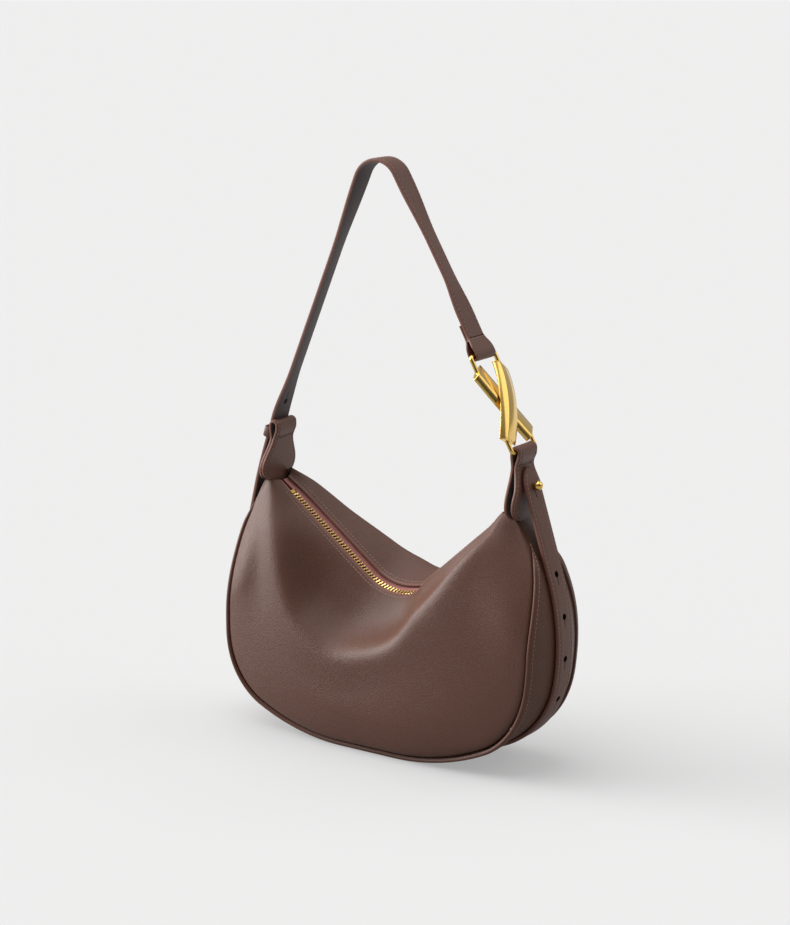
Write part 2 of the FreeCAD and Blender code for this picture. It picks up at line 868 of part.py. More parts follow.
def tab_outline(fold, foot):
    """A tab seen square on: wide at the fold, drawn in at the waist, round at the foot."""
    top = fold.z + 2 * fold_radius
    middle = foot + lobe_radius
    right = [(fold_half, top), (fold_half, fold.z - fold_shoulder)]
    right += [(waist_half, waist_height), (lobe_radius, middle)]
    corners = [V(-2 * mouth_half, y, z) for y, z in right]
    other = [V(-2 * mouth_half, -y, z) for y, z in right[::-1]]
    edges = [Part.Arc(corners[-1], V(-2 * mouth_half, 0, foot), other[0]).toShape()]
    edges += [Part.LineSegment(a, b).toShape() for a, b in zip(corners, corners[1:])]
    edges += [Part.LineSegment(a, b).toShape() for a, b in zip(other, other[1:])]
    edges.append(Part.LineSegment(other[-1], corners[0]).toShape())
    face = Part.Face(Part.Wire(Part.__sortEdges__(edges)))
    return face.extrude(V(4 * mouth_half, 0, 0))


def tab_foot(side):
    """Middle of the inner leaf's lower end, just clear of the zip's leather lips."""
    run = foot_inset if side < 0 else zip_line.length - foot_inset
    point = zip_line.at(run, lip_lift + tab_leather / 2 + foot_gap)
    return V(abs(point.x), 0, point.z)


def make_tab(name, side, fold, neck, inset, holes):
    knee = belt_line.at(hug_run + knee_run, inset)
    foot_in = tab_foot(side)
    foot_out = gusset_line.at(gusset_line.length - outer_foot_rise, -seat_gap)
    foot_out += V(tab_leather / 2 + seat_gap, 0, 0)
    lip_drop = lobe_radius - math.sqrt(lobe_radius ** 2 - slot_half ** 2)
    foot = foot_in.z - lip_drop
    tab = tab_sheet(fold, neck, knee, foot_out, foot_in - V(0, 0, lobe_radius / 2))
    tab = tab.common(tab_outline(fold, foot))
    for hole in holes:
        tab = tab.cut(hole)
    if side < 0:
        tab = mirrored(tab)
    save(name + "_foot", tab.common(bag_room))
    save(name + "_loop", tab.cut(swing_room))


def make_tabs():
    stud = hug_run + stud_run
    shank = screw_shank + thread_gap
    start = belt_line.at(stud, 2 * tab_leather)
    hole = Part.makeCylinder(shank, 3 * tab_leather, start, belt_normal(stud))
    behind = tab_leather / 2
    make_tab("right_tab", 1, lower_bar, belt_line.at(hug_run + neck_run, behind), behind, [hole])
    behind += keeper_wall + seat_gap
    fold = belt_line.at(hug_run + left_fold_run, behind + fold_radius)
    neck = fold + V((tab_leather + thread_gap) / 2, 0, -left_neck_drop)
    make_tab("left_tab", -1, fold, neck, behind, [])
    low = keeper_run - keeper_height / 2
    start = belt_line.at(hug_run + low)
    ring = Track(start.x, start.z, belt_line.heading_at(hug_run + low)).line(keeper_height)
    room = strap_half + seat_gap
    skin = room + keeper_wall
    cover = outer_face + seat_gap
    outside = band(ring, -cover - keeper_wall, keeper_wall, -skin, skin)
    inside = band(ring, -cover, 0.0, -room, room)
    save("strap_keeper", mirrored(outside.cut(inside)))


# Stud

def on_stud(shape):
    """Place a turned piece, modelled along Z from the tab's outer face, at the stud."""
    run = hug_run + stud_run
    out = belt_normal(run)
    shape.Placement = FreeCAD.Placement(belt_line.at(run), FreeCAD.Rotation(V(0, 0, 1), out))
    return shape


def make_stud():
    ball_centre = outer_face + math.sqrt(ball_radius ** 2 - hole_radius ** 2) + seat_gap
    ball = Part.makeSphere(ball_radius, V(0, 0, ball_centre))
    bore = Part.makeCylinder(screw_shank + fit_clearance, screw_reach + fit_clearance)
    stud = ball.fuse(Part.makeCylinder(stud_neck, ball_centre)).cut(bore)
    save("stud", on_stud(stud.removeSplitter()))
    seat = -tab_leather - thread_gap
    head = Part.makeCylinder(screw_head, screw_head_height, V(0, 0, seat - screw_head_height))
    shank = Part.makeCylinder(screw_shank, screw_reach - seat, V(0, 0, seat))
    save("stud_screw", on_stud(head.fuse(shank).removeSplitter()))


def main():
    os.makedirs("parts", exist_ok=True)
    make_body_leather()
    make_zip_rows()
    make_slider()
    make_pull()
    make_belt()
    make_shoulder_strap()
    make_strap_drop()
    make_buckle()
    make_tabs()
    make_stud()


main()
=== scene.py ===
import json
import math

import bmesh
import bpy
import numpy as np
from mathutils import Matrix, Vector


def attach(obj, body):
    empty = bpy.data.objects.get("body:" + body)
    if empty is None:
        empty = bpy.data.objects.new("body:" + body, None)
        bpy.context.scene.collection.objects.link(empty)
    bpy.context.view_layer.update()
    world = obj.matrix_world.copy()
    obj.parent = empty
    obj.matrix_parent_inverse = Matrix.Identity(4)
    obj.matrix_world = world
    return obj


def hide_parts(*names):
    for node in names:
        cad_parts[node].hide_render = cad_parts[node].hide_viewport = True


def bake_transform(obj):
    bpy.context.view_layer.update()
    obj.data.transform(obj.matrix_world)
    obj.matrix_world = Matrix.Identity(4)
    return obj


bl_info = {
    "name": "Half Moon Bag",
    "version": (1, 0, 0),
    "blender": (4, 5, 0),
    "location": "View3D > Sidebar > Half Moon Bag",
    "description": "Dresses the packed half moon shoulder bag in leather, thread and gold metal",
    "category": "Object",
}

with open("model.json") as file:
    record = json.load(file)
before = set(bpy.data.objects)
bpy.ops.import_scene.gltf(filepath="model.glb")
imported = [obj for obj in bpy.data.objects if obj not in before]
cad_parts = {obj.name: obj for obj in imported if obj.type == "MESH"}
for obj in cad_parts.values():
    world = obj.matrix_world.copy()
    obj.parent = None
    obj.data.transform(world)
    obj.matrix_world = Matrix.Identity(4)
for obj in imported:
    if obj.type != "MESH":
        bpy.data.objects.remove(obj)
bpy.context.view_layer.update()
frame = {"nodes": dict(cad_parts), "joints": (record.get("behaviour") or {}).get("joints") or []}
joint_place = {joint["name"]: Vector(joint["pos_m"]) for joint in frame["joints"] if "pos_m" in joint}

MM = 0.001
SIDE = np.array([0.0, 1.0, 0.0])
UP = np.array([0.0, 0.0, 1.0])
LEATHER = 1.6 * MM
LIP_LEATHER = 0.3 * MM
SEAM_OVERHANG = 2.6 * MM
BELT_GAP = 0.3 * MM
STITCH_INSET = 2.1 * MM
STITCH_SINK = 0.1 * MM
THINNEST = 0.02 * MM


class BagShape(bpy.types.PropertyGroup):
    """Sizes of the leather pieces and where they lie."""

    strap_width: bpy.props.FloatProperty(
        name="Strap width", description="Width of the belt and shoulder strap",
        default=20 * MM, unit="LENGTH")
    strap_thickness: bpy.props.FloatProperty(
        name="Strap thickness", description="Two plies of strap leather", default=2.6 * MM, unit="LENGTH")
    fold_width: bpy.props.FloatProperty(
        name="Fold width", description="Width of the folds round the wire loops",
        default=25 * MM, unit="LENGTH")
    tab_thickness: bpy.props.FloatProperty(
        name="Tab thickness", description="Leather of the two tabs", default=2.2 * MM, unit="LENGTH")
    seam_depth: bpy.props.FloatProperty(
        name="Seam depth", description="Distance between the two seams", default=64 * MM, unit="LENGTH")
    end_depth: bpy.props.FloatProperty(
        name="End depth", description="Distance between the seams at the mouth's ends",
        default=16 * MM, unit="LENGTH")
    crest_depth: bpy.props.FloatProperty(
        name="Crest depth", description="How far the slouched fold stands forward",
        default=44 * MM, unit="LENGTH")
    belly_depth: bpy.props.FloatProperty(
        name="Belly depth", description="How far the body swells below the fold",
        default=47.5 * MM, unit="LENGTH")
    left_slim: bpy.props.FloatProperty(
        name="Left slimming", description="How far the left side is drawn in",
        default=6 * MM, unit="LENGTH")
    rim_rise: bpy.props.FloatProperty(
        name="Rim rise", description="How far the back stands above the zip",
        default=21 * MM, unit="LENGTH")
    tooth_pitch: bpy.props.FloatProperty(
        name="Tooth pitch", description="Distance between zip teeth on one tape",
        default=2.8 * MM, unit="LENGTH")
    stitch_pitch: bpy.props.FloatProperty(
        name="Stitch pitch", description="Distance between stitches", default=3.2 * MM, unit="LENGTH")


class BagFinish(bpy.types.PropertyGroup):
    """Colours of the finishes."""

    leather: bpy.props.FloatVectorProperty(
        name="Leather", description="Brown of the body", subtype="COLOR", size=3,
        default=(0.115, 0.044, 0.025), min=0, max=1)
    strap: bpy.props.FloatVectorProperty(
        name="Strap", description="Brown of the belt, strap and tabs", subtype="COLOR", size=3,
        default=(0.132, 0.053, 0.033), min=0, max=1)
    strap_inside: bpy.props.FloatVectorProperty(
        name="Strap inside", description="Darker face inside the strap", subtype="COLOR", size=3,
        default=(0.085, 0.068, 0.066), min=0, max=1)
    # Also used on the rolled lips at the zip, where this lighter brown is a painted highlight along the
    # lips' edges.
    edge_paint_and_lip_highlight: bpy.props.FloatVectorProperty(
        name="Edge paint and lip highlight", description="Painted cut edges", subtype="COLOR", size=3,
        default=(0.17, 0.066, 0.044), min=0, max=1)
    thread: bpy.props.FloatVectorProperty(
        name="Thread", description="Stitching", subtype="COLOR", size=3,
        default=(0.38, 0.235, 0.195), min=0, max=1)
    lining: bpy.props.FloatVectorProperty(
        name="Lining", description="Cloth inside the bag", subtype="COLOR", size=3,
        default=(0.10, 0.075, 0.055), min=0, max=1)
    tape: bpy.props.FloatVectorProperty(
        name="Zip tape", description="Woven tape of the zip", subtype="COLOR", size=3,
        default=(0.56, 0.22, 0.20), min=0, max=1)
    gold: bpy.props.FloatVectorProperty(
        name="Gold", description="Plated buckle, stud and zip", subtype="COLOR", size=3,
        default=(0.86, 0.58, 0.17), min=0, max=1)
    floor: bpy.props.FloatVectorProperty(
        name="Floor", description="Plain pale floor", subtype="COLOR", size=3,
        default=(0.84, 0.84, 0.84), min=0, max=1)


class BagCamera(bpy.types.PropertyGroup):
    """Where the photograph was taken from."""

    azimuth: bpy.props.FloatProperty(
        name="Azimuth", description="Turn from the front towards the buckle", default=math.radians(33.76),
        subtype="ANGLE")
    elevation: bpy.props.FloatProperty(
        name="Elevation", description="Height angle", default=math.radians(13.19), subtype="ANGLE")
    distance: bpy.props.FloatProperty(
        name="Distance", description="From the target", default=1.7, unit="LENGTH")
    target: bpy.props.FloatVectorProperty(
        name="Target", description="Point at the middle of the frame", default=(0.0009, 0.0, 0.21684),
        subtype="XYZ")
    focal_pixels: bpy.props.FloatProperty(
        name="Focal length", description="In pixels of the frame", default=2289.0)
    frame_height: bpy.props.FloatProperty(
        name="Frame height", description="In pixels", default=925.0)


def shape():
    return bpy.context.scene.bag_shape


def finish():
    return bpy.context.scene.bag_finish


# Paths and smooth curves

class Path:
    """Flat path of straight and round spans in the XZ plane; offsets go to its left."""

    def __init__(self, x, z, heading):
        self.spans = []
        self.end = (x, z, heading)
        self.length = 0.0

    def go(self, length, turn=0.0):
        x, z, heading = self.end
        self.spans.append((self.length, length, x, z, heading, turn))
        point, last = self.inside(self.spans[-1], np.array([length]))
        self.end = (point[0, 0], point[0, 2], last[0])
        self.length += length
        return self

    def arc(self, radius, degrees):
        return self.go(radius * abs(math.radians(degrees)), math.radians(degrees))

    @staticmethod
    def inside(span, run):
        _, length, x, z, heading, turn = span
        now = heading + turn * run / length
        if turn:
            bend = turn / length
            px = x + (np.sin(now) - math.sin(heading)) / bend
            pz = z - (np.cos(now) - math.cos(heading)) / bend
        else:
            px = x + run * math.cos(heading)
            pz = z + run * math.sin(heading)
        return np.stack([px, np.zeros_like(px), pz], -1), now

    def at(self, run, offset=0.0):
        """Points, ways and left-hand normals at an array of runs."""
        run = np.atleast_1d(np.asarray(run, float))
        points = np.zeros((len(run), 3))
        heading = np.zeros(len(run))
        for index, span in enumerate(self.spans):
            here = run >= span[0] if index else np.ones(len(run), bool)
            points[here], heading[here] = self.inside(span, run[here] - span[0])
        way = np.stack([np.cos(heading), 0 * heading, np.sin(heading)], -1)
        left = np.stack([-np.sin(heading), 0 * heading, np.cos(heading)], -1)
        return points + left * np.reshape(offset, (-1, 1)), way, left


def rounded_path(corners, radii):
    """Path through corner points, each inner corner rounded by its radius."""
    corners = [np.array(corner, float) for corner in corners]
    legs = [b - a for a, b in zip(corners, corners[1:])]
    headings = [math.atan2(leg[2], leg[0]) for leg in legs]
    turns = [(b - a + math.pi) % (2 * math.pi) - math.pi for a, b in zip(headings, headings[1:])]
    cuts = [0.0] + [r * math.tan(abs(t) / 2) for r, t in zip(radii, turns)] + [0.0]
    path = Path(corners[0][0], corners[0][2], headings[0])
    for index, leg in enumerate(legs):
        path.go(float(np.linalg.norm(leg)) - cuts[index] - cuts[index + 1])
        if index < len(turns):
            path.go(radii[index] * abs(turns[index]), turns[index])
    return path


def smooth_table(k, places, values):
    """Smooth curve through values given at a few places."""
    places = np.array(places, float)
    values = np.array(values, float)
    slopes = np.gradient(values, places)
    i = np.clip(np.searchsorted(places, k) - 1, 0, len(places) - 2)
    step = places[i + 1] - places[i]
    t = np.clip((k - places[i]) / step, 0, 1)
    a = 2 * t ** 3 - 3 * t ** 2 + 1
    b = t ** 3 - 2 * t ** 2 + t
    c = t ** 3 - t ** 2
    return a * values[i] + b * step * slopes[i] + (1 - a) * values[i + 1] + c * step * slopes[i + 1]


def smooth_step(low, high, value):
    t = np.clip((value - low) / (high - low), 0, 1)
    return t * t * (3 - 2 * t)


def spline_weights(pole_count, samples, crowding=1.0):
    """Weights of a clamped cubic spline's poles at evenly spread samples."""
    degree = 3
    knots = np.concatenate([np.zeros(degree), np.linspace(0, 1, pole_count - degree + 1), np.ones(degree)])
    t = np.linspace(0, 1, samples) ** crowding
    t[-1] = 1 - 1e-9
    weights = ((t[:, None] >= knots[:-1]) & (t[:, None] < knots[1:])).astype(float)
    for d in range(1, degree + 1):
        fresh = np.zeros((samples, len(knots) - 1 - d))
        for i in range(fresh.shape[1]):
            rise = knots[i + d] - knots[i]
            fall = knots[i + d + 1] - knots[i + 1]
            if rise > 0:
                fresh[:, i] += (t - knots[i]) / rise * weights[:, i]
            if fall > 0:
                fresh[:, i] += (knots[i + d + 1] - t) / fall * weights[:, i + 1]
        weights = fresh
    return weights


# Meshes

def make_object(name, vertices, faces, materials, face_materials=None, sharp=50):
    """Smooth object whose edges stay sharp beyond an angle in degrees."""
    mesh = bpy.data.meshes.new(name)
    mesh.from_pydata([tuple(v) for v in vertices], [], faces)
    for material in materials:
        mesh.materials.append(material)
    if face_materials is not None:
        mesh.polygons.foreach_set("material_index", np.array(face_materials, np.int32))
    made = bmesh.new()
    made.from_mesh(mesh)
    bmesh.ops.recalc_face_normals(made, faces=made.faces)
    made.to_mesh(mesh)
    made.free()
    mesh.shade_smooth()
    mesh.set_sharp_from_angle(angle=math.radians(sharp))
    obj = bpy.data.objects.new(name, mesh)
    bpy.context.collection.objects.link(obj)
    return obj


def grid_faces(rows, columns, wrap=False):
    """Four-sided faces between the points of a grid, closed across its columns if wrapped."""
    faces = []
    for i in range(rows - 1):
        for j in range(columns if wrap else columns - 1):
            n = (j + 1) % columns
            faces.append((i * columns + j, i * columns + n, (i + 1) * columns + n, (i + 1) * columns + j))
    return faces


def sheet_object(name, outer, inner, materials, lip=0):
    """Closed leather sheet between two grids of points; its first columns are a lip in a third finish."""
    rows, columns = outer.shape[:2]
    count = rows * columns
    vertices = np.concatenate([outer.reshape(-1, 3), inner.reshape(-1, 3)])
    faces = grid_faces(rows, columns)
    marks = [2 if face[0] % columns < lip else 0 for face in faces]
    for face in grid_faces(rows, columns):
        faces.append(tuple(count + v for v in face[::-1]))
        marks.append(1)
    border = list(range(columns))
    border += [i * columns + columns - 1 for i in range(1, rows)]
    border += [(rows - 1) * columns + j for j in range(columns - 2, -1, -1)]
    border += [i * columns for i in range(rows - 2, 0, -1)]
    for a, b in zip(border, border[1:] + border[:1]):
        faces.append((a, count + a, count + b, b))
        marks.append(0)
    return make_object(name, vertices, faces, materials, marks)


def grid_normals(grid):
    """Unit normals of a grid of points."""
    along = np.gradient(grid, axis=0)
    across = np.gradient(grid, axis=1)
    normal = np.cross(along, across)
    return normal / np.maximum(np.linalg.norm(normal, axis=2, keepdims=True), 1e-12)


def stacked_rings(first, rows, columns):
    """Faces of a closed solid through rings of points, with a cap at both ends."""
    faces = [tuple(first + v for v in face) for face in grid_faces(rows, columns, wrap=True)]
    faces.append(tuple(first + j for j in range(columns))[::-1])
    faces.append(tuple(first + (rows - 1) * columns + j for j in range(columns)))
    return faces


def tube_object(name, rings, materials, ring_marks, sharp=50):
    """Closed solid through rings of points; each strip along it has its own finish."""
    rows, columns = rings.shape[:2]
    marks = list(ring_marks) * (rows - 1) + [ring_marks[0]] * 2
    return make_object(name, rings.reshape(-1, 3), stacked_rings(0, rows, columns), materials, marks, sharp)


def loop_object(name, rings, materials):
    """Closed ring-shaped solid: the last ring joins the first."""
    rows, columns = rings.shape[:2]
    faces = grid_faces(rows, columns, wrap=True)
    for j in range(columns):
        n = (j + 1) % columns
        faces.append(((rows - 1) * columns + j, (rows - 1) * columns + n, n, j))
    return make_object(name, rings.reshape(-1, 3), faces, materials)


STRAP_EDGE = 0
STRAP_FACE = 1
STRAP_BACK = 2
STRAP_GROOVE = 0.25 * MM


def strap_profile(thickness, groove):
    """Cross-section of a strap: side, inset from its edge, height and finish of the face that follows."""
    soft = min(0.7 * MM, thickness * 0.35)
    groove_half = 0.4 * MM
    right = [
        (0.25 * soft, 0.25 * soft, STRAP_EDGE),
        (0.0, soft, STRAP_EDGE),
        (0.0, thickness - soft, STRAP_EDGE),
        (0.3 * soft, thickness - 0.3 * soft, STRAP_EDGE),
        (soft, thickness, STRAP_FACE),
        (STITCH_INSET - groove_half, thickness + 0.05 * MM, STRAP_FACE),
        (STITCH_INSET, thickness - groove, STRAP_FACE),
        (STITCH_INSET + groove_half, thickness + 0.05 * MM, STRAP_FACE),
        (5.0 * MM, thickness + 0.12 * MM, STRAP_FACE),
    ]
    points = [(1, soft, 0.0, STRAP_EDGE)] + [(1,) + point for point in right]
    left = [(-1, inset, height) for inset, height, _ in right[::-1]] + [(-1, soft, 0.0)]
    marks = [STRAP_FACE] * 5 + [STRAP_EDGE] * 4 + [STRAP_BACK]
    return points + [point + (mark,) for point, mark in zip(left, marks)]


def turned_side(twist):
    """Width direction of a strap turned about the upright by each angle."""
    return np.stack([np.sin(twist), np.cos(twist), 0 * twist], -1)


def strap_object(name, path, runs, offset, thickness, half, materials, groove=STRAP_GROOVE, across=SIDE):
    """Strap along a path, with half its width at each run and the direction of its width."""
    points, _, left = path.at(runs, offset)
    profile = strap_profile(thickness, groove)
    rings = np.zeros((len(runs), len(profile), 3))
    for j, (side, inset, height, _) in enumerate(profile):
        y = side * np.maximum(half - inset, THINNEST)
        rings[:, j] = points + left * height + across * y[:, None]
    return tube_object(name, rings, materials, [entry[3] for entry in profile])


def carve(obj, cutters):
    """Cut holes out of a solid, and leave no modifier on it."""
    for cutter in cutters:
        cut = obj.modifiers.new("hole", "BOOLEAN")
        cut.operation = "DIFFERENCE"
        cut.solver = "EXACT"
        cut.object = cutter
        cut.material_mode = "TRANSFER"
    graph = bpy.context.evaluated_depsgraph_get()
    mesh = bpy.data.meshes.new_from_object(obj.evaluated_get(graph))
    obj.modifiers.clear()
    old = obj.data
    obj.data = mesh
    bpy.data.meshes.remove(old)
    for cutter in cutters:
        bpy.data.objects.remove(cutter)
    obj.data.set_sharp_from_angle(angle=math.radians(40))


def hole_cutter(point, out, way, radius=2.4 * MM, slit=8 * MM, slit_width=0.7 * MM, depth=6 * MM):
    """Round stud hole with a slit below it, drawn as one outline."""
    lean = math.asin(slit_width / 2 / radius)
    outline = [(slit, slit_width / 2)]
    for step in range(25):
        turn = lean + (2 * math.pi - 2 * lean) * step / 24
        outline.append((radius * math.cos(turn), radius * math.sin(turn)))
    outline.append((slit, -slit_width / 2))
    point, out, way = (np.array(v, float) for v in (point, out, way))
    rings = []
    for lift in (-depth, depth):
        rings.append([point + out * lift + way * a + SIDE * b for a, b in outline])
    # The cutter's near-black finish passes to the hole's walls as painted shade.
    return tube_object("cutter", np.array(rings), [finishes["hole"]], [0] * len(outline))


STITCH_RING = [(0.5, 0.0), (0.36, 0.75), (0.0, 1.0), (-0.36, 0.75), (-0.5, 0.0), (0.0, -0.6)]
STITCH_SLICES = [(-0.5, 0.3), (-0.36, 0.85), (0.0, 1.0), (0.36, 0.85), (0.5, 0.3)]


def along_line(values, run, places):
    """Points or normals of a line at places along its run."""
    return np.stack([np.interp(places, run, values[:, axis]) for axis in range(3)], -1)


def stitches(name, line, normals, pitch=None, material=None, length_share=0.74, width=0.75 * MM,
             height=0.32 * MM):
    """Thread along a line of surface points: one small rounded bar for each stitch."""
    pitch = pitch or shape().stitch_pitch
    steps = np.linalg.norm(np.diff(line, axis=0), axis=1)
    run = np.concatenate([[0], np.cumsum(steps)])
    count = max(1, int(run[-1] / pitch))
    pitch = run[-1] / count
    vertices = []
    faces = []
    for index in range(count):
        middle = (index + 0.5) * pitch
        ends = middle + np.array([-0.5, 0.0, 0.5]) * pitch * length_share
        low, centre, high = along_line(line, run, ends)
        up = along_line(normals, run, middle)
        way = high - low
        long = np.linalg.norm(way)
        across = np.cross(up, way / long)
        faces += stacked_rings(len(vertices), len(STITCH_SLICES), len(STITCH_RING))
        for along, swell in STITCH_SLICES:
            for a, b in STITCH_RING:
                vertices.append(centre + way * along + (across * a * width + up * b * height) * swell)
    return make_object(name, vertices, faces, [material or finishes["thread"]])


def crease(name, line, normals):
    """Painted shade: a dark line where one ply of leather ends on another, standing in for the shade in the
    step.
    """
    return stitches(name, line, normals, pitch=2 * MM, material=finishes["hole"], length_share=1.1,
                    width=0.7 * MM, height=0.22 * MM)


def edge_stitches(name, points, normals, half, across=SIDE):
    """Both rows of stitching along a strap, a little in from its edges."""
    inset = np.maximum(half - STITCH_INSET, 0)[:, None]
    return [stitches(name + "_" + label, points + across * side * inset, normals)
            for side, label in ((-1, "front"), (1, "back"))]


# The bag's own lines

def outline_path():
    """Middle line of the gusset, from the middle of the base up one side."""
    path = Path(0.0, 3.7 * MM, 0.0).go(24 * MM)
    path.arc(190 * MM, 25)
    path.arc(70 * MM, 57)
    return path.arc(170 * MM, 25.5)


def gusset_path():
    """The gusset's middle line, carried on to the end of the mouth."""
    return outline_path().arc(80 * MM, 17.5).go(28 * MM)


MOUTH_HALF = 107 * MM
MOUTH_HEIGHT = 192 * MM
MOUTH_INSET = 4 * MM


def zip_path():
    """Middle line of the zip, sagging between the ends of the mouth."""
    corners = [(-MOUTH_HALF, 0, MOUTH_HEIGHT), (8 * MM, 0, 104 * MM), (MOUTH_HALF, 0, MOUTH_HEIGHT)]
    return rounded_path(corners, [45 * MM])


def straight_run(rise):
    """Length of straight belt from where it leaves the body to a height above the mouth."""
    _, z, heading = outline_path().end
    return (MOUTH_HEIGHT + rise - z) / math.sin(heading)


SLIM_HEIGHTS = [0.0, 0.045, 0.090, 0.137, 0.165, 0.195, 0.240]
SLIM_SHARE = [0.0, 0.25, 1.0, 1.5, 1.33, 1.0, 1.0]


def slimming(z):
    """How far the left side stands in from a mirror image of the right, at each height."""
    return shape().left_slim * smooth_table(np.clip(z, 0, SLIM_HEIGHTS[-1]), SLIM_HEIGHTS, SLIM_SHARE)


def mirrored(on_left):
    """Factors that turn points and directions over where they are on the left side."""
    return np.where(on_left[:, None], [-1.0, 1.0, 1.0], [1.0, 1.0, 1.0])


def belt_point(runs, offset):
    """Points, ways and outward normals of the belt at signed runs from the middle of the base."""
    path = outline_path().go(straight_run(60 * MM))
    points, way, left = path.at(np.abs(runs), -np.asarray(offset))
    mirror = mirrored(runs < 0)
    points = points * mirror
    points[:, 0] += np.where(runs < 0, slimming(points[:, 2]), 0)
    return points, way * mirror, -left * mirror


def half_depth(run):
    """Half the distance between the seams at a run up the gusset."""
    fade = 110 * MM
    share = np.clip((run - gusset_path().length + fade) / fade, 0, 1)
    ease = 0.5 - 0.5 * np.cos(math.pi * share)
    return shape().seam_depth / 2 + (shape().end_depth - shape().seam_depth) / 2 * ease


def gusset_points(k, y, lift):
    """Points on the gusset: k runs from the left end (-1) to the right end (1); lift is outward."""
    path = gusset_path()
    k = np.asarray(k, float)
    run = np.abs(k) * path.length
    half = half_depth(run)
    _, way, _ = path.at(run)
    full = (half * 2 / shape().seam_depth) ** 2
    base_crown = -1.4 * MM
    side_crown = 8.4 * MM
    crown = (base_crown + side_crown * way[:, 2] ** 2) * full
    points, _, _ = path.at(run, crown * (y / half) ** 2 - lift)
    points[:, 0] *= np.where(k < 0, -1, 1)
    ease = 1 - 0.9 * smooth_step(160 * MM, MOUTH_HEIGHT, points[:, 2])
    points[:, 0] += np.where(k < 0, slimming(points[:, 2]) * ease, 0)
    points[:, 1] = y
    return points


def gusset_outward(k):
    """Outward normals of the gusset's middle line."""
    path = gusset_path()
    _, _, left = path.at(np.abs(k) * path.length)
    return -left * mirrored(k < 0)


def seam_points(k, side):
    """Line of the seam on the front (-1) or the back (1)."""
    run = np.abs(k) * gusset_path().length
    return gusset_points(k, side * (half_depth(run) + SEAM_OVERHANG), -0.4 * MM)


def tuck_points(k, side):
    """Where a panel turns in under its welt."""
    run = np.abs(k) * gusset_path().length
    under = gusset_points(k, side * (half_depth(run) + 0.6 * MM), -2.6 * MM)
    bare = smooth_step(0.86, 0.93, np.abs(k))[:, None]
    return under + (gusset_points(k, side * (half_depth(run) - 0.3 * MM), 0.0) - under) * bare


def zip_tilt(k):
    """How far the zip leans towards the front, where the mouth sags."""
    return math.radians(24) * smooth_step(-1.02, -0.8, k) * (1 - smooth_step(0.05, 0.32, k))


def zip_frame(k):
    """Middle points of the zip with its way, side and face directions."""
    path = zip_path()
    run = MOUTH_INSET + (path.length - 2 * MOUTH_INSET) * (np.asarray(k) + 1) / 2
    points, way, face = path.at(run)
    lean = zip_tilt(np.asarray(k))[:, None]
    side = SIDE * np.cos(lean) + face * np.sin(lean)
    face = face * np.cos(lean) - SIDE * np.sin(lean)
    return points, way, side, face


def mouth_points(k, y, lift):
    """Points beside the zip's middle line, lifted off its face."""
    points, _, side, face = zip_frame(k)
    return points + side * np.reshape(y, (-1, 1)) + face * np.reshape(lift, (-1, 1))


def mouth_fade(k):
    """One in the middle of the bag, falling to nothing at both ends of the mouth."""
    return np.maximum(1 - np.abs(k) ** 2.5, 0) ** 0.8


CREST_PLACES = [-1.0, -0.75, -0.5, -0.3, -0.15, 0.0, 0.25, 0.5, 0.75, 1.0]
CREST_SHARE = [0.30, 0.27, 0.295, 0.35, 0.36, 0.29, 0.155, 0.11, 0.10, 0.15]
CREST_FORWARD = [0.0, 0.56, 0.86, 1.0, 1.03, 1.02, 0.98, 0.88, 0.60, 0.0]
DISH_HOLLOW = [0.85, 0.70, 0.48, 0.31, 0.27, 0.31, 0.42, 0.48, 0.55, 0.6]
RIM_PLACES = [-1.0, -0.75, -0.6, -0.3, -0.15, 0.0, 0.2, 0.5, 0.75, 1.0]
RIM_RISE = [0.28, 0.40, 0.48, 0.84, 1.0, 0.94, 0.48, 0.22, 0.10, 0.0]
BODY_HALF = 150 * MM
RIM_DEPTH = 29 * MM
SHOULDER_DEPTH = 42 * MM


def pillow(points):
    """Share of the body's swell at each point: full in the middle, less towards both sides."""
    return np.maximum(1 - (np.abs(points[:, 0]) / BODY_HALF) ** 2.2, 0)


def end_half():
    """Half the body's depth at the ends of the mouth."""
    return shape().end_depth / 2 + SEAM_OVERHANG


def belly_swell():
    """How far the belly stands out from the seams."""
    return shape().belly_depth - shape().seam_depth / 2 - SEAM_OVERHANG


def between(first, second, share, y):
    """Points part of the way from one line to another, at a depth of their own."""
    points = first + (second - first) * np.reshape(share, (-1, 1))
    points[:, 1] = y
    return points


def front_lip(k):
    """Half width of the slot on the front side, and height of the leather's edge over the zip."""
    wide = smooth_step(0.1, 0.32, k)
    at_end = smooth_step(0.86, 1.0, k)
    return (3.4 + 2.6 * wide) * MM, (1.4 + 3.6 * wide * (1 + 0.6 * at_end)) * MM


def front_poles(k):
    """Lines across the front, from its edge at the zip over dish, crest and belly to its seam."""
    fade = mouth_fade(k)
    seam = seam_points(k, -1)
    slot, lift = front_lip(k)
    edge = mouth_points(k, -slot, lift)
    lip = mouth_points(k, -slot - (2.5 + 3 * fade) * MM, lift + 0.4 * MM)
    share = smooth_table(k, CREST_PLACES, CREST_SHARE)
    reach = np.clip(smooth_table(k, CREST_PLACES, CREST_FORWARD), 0, 1.05)
    forward = end_half() + (shape().crest_depth - end_half()) * reach
    hollow = smooth_table(k, CREST_PLACES, DISH_HOLLOW)

    def swollen(at, amount):
        points = between(edge, seam, at, seam[:, 1])
        points[:, 1] -= amount * belly_swell() * fade * pillow(points)
        return points

    at_left = 1 - smooth_step(-0.75, -0.35, k)
    dish = between(edge, seam, share * (0.72 - 0.24 * at_left), -slot - (forward - slot) * hollow)
    crest = between(edge, seam, share, -forward)
    brow = between(edge, seam, share + 0.12 + 0.04 * at_left, -forward - 1.0 * MM * fade)
    under = between(edge, seam, share + 0.27, -forward - 0.7 * MM * fade)
    return [edge, lip, dish, crest, brow, under, swollen(0.74, 1.0), swollen(0.93, 0.66),
            swollen(0.985, 0.4), tuck_points(k, -1)]


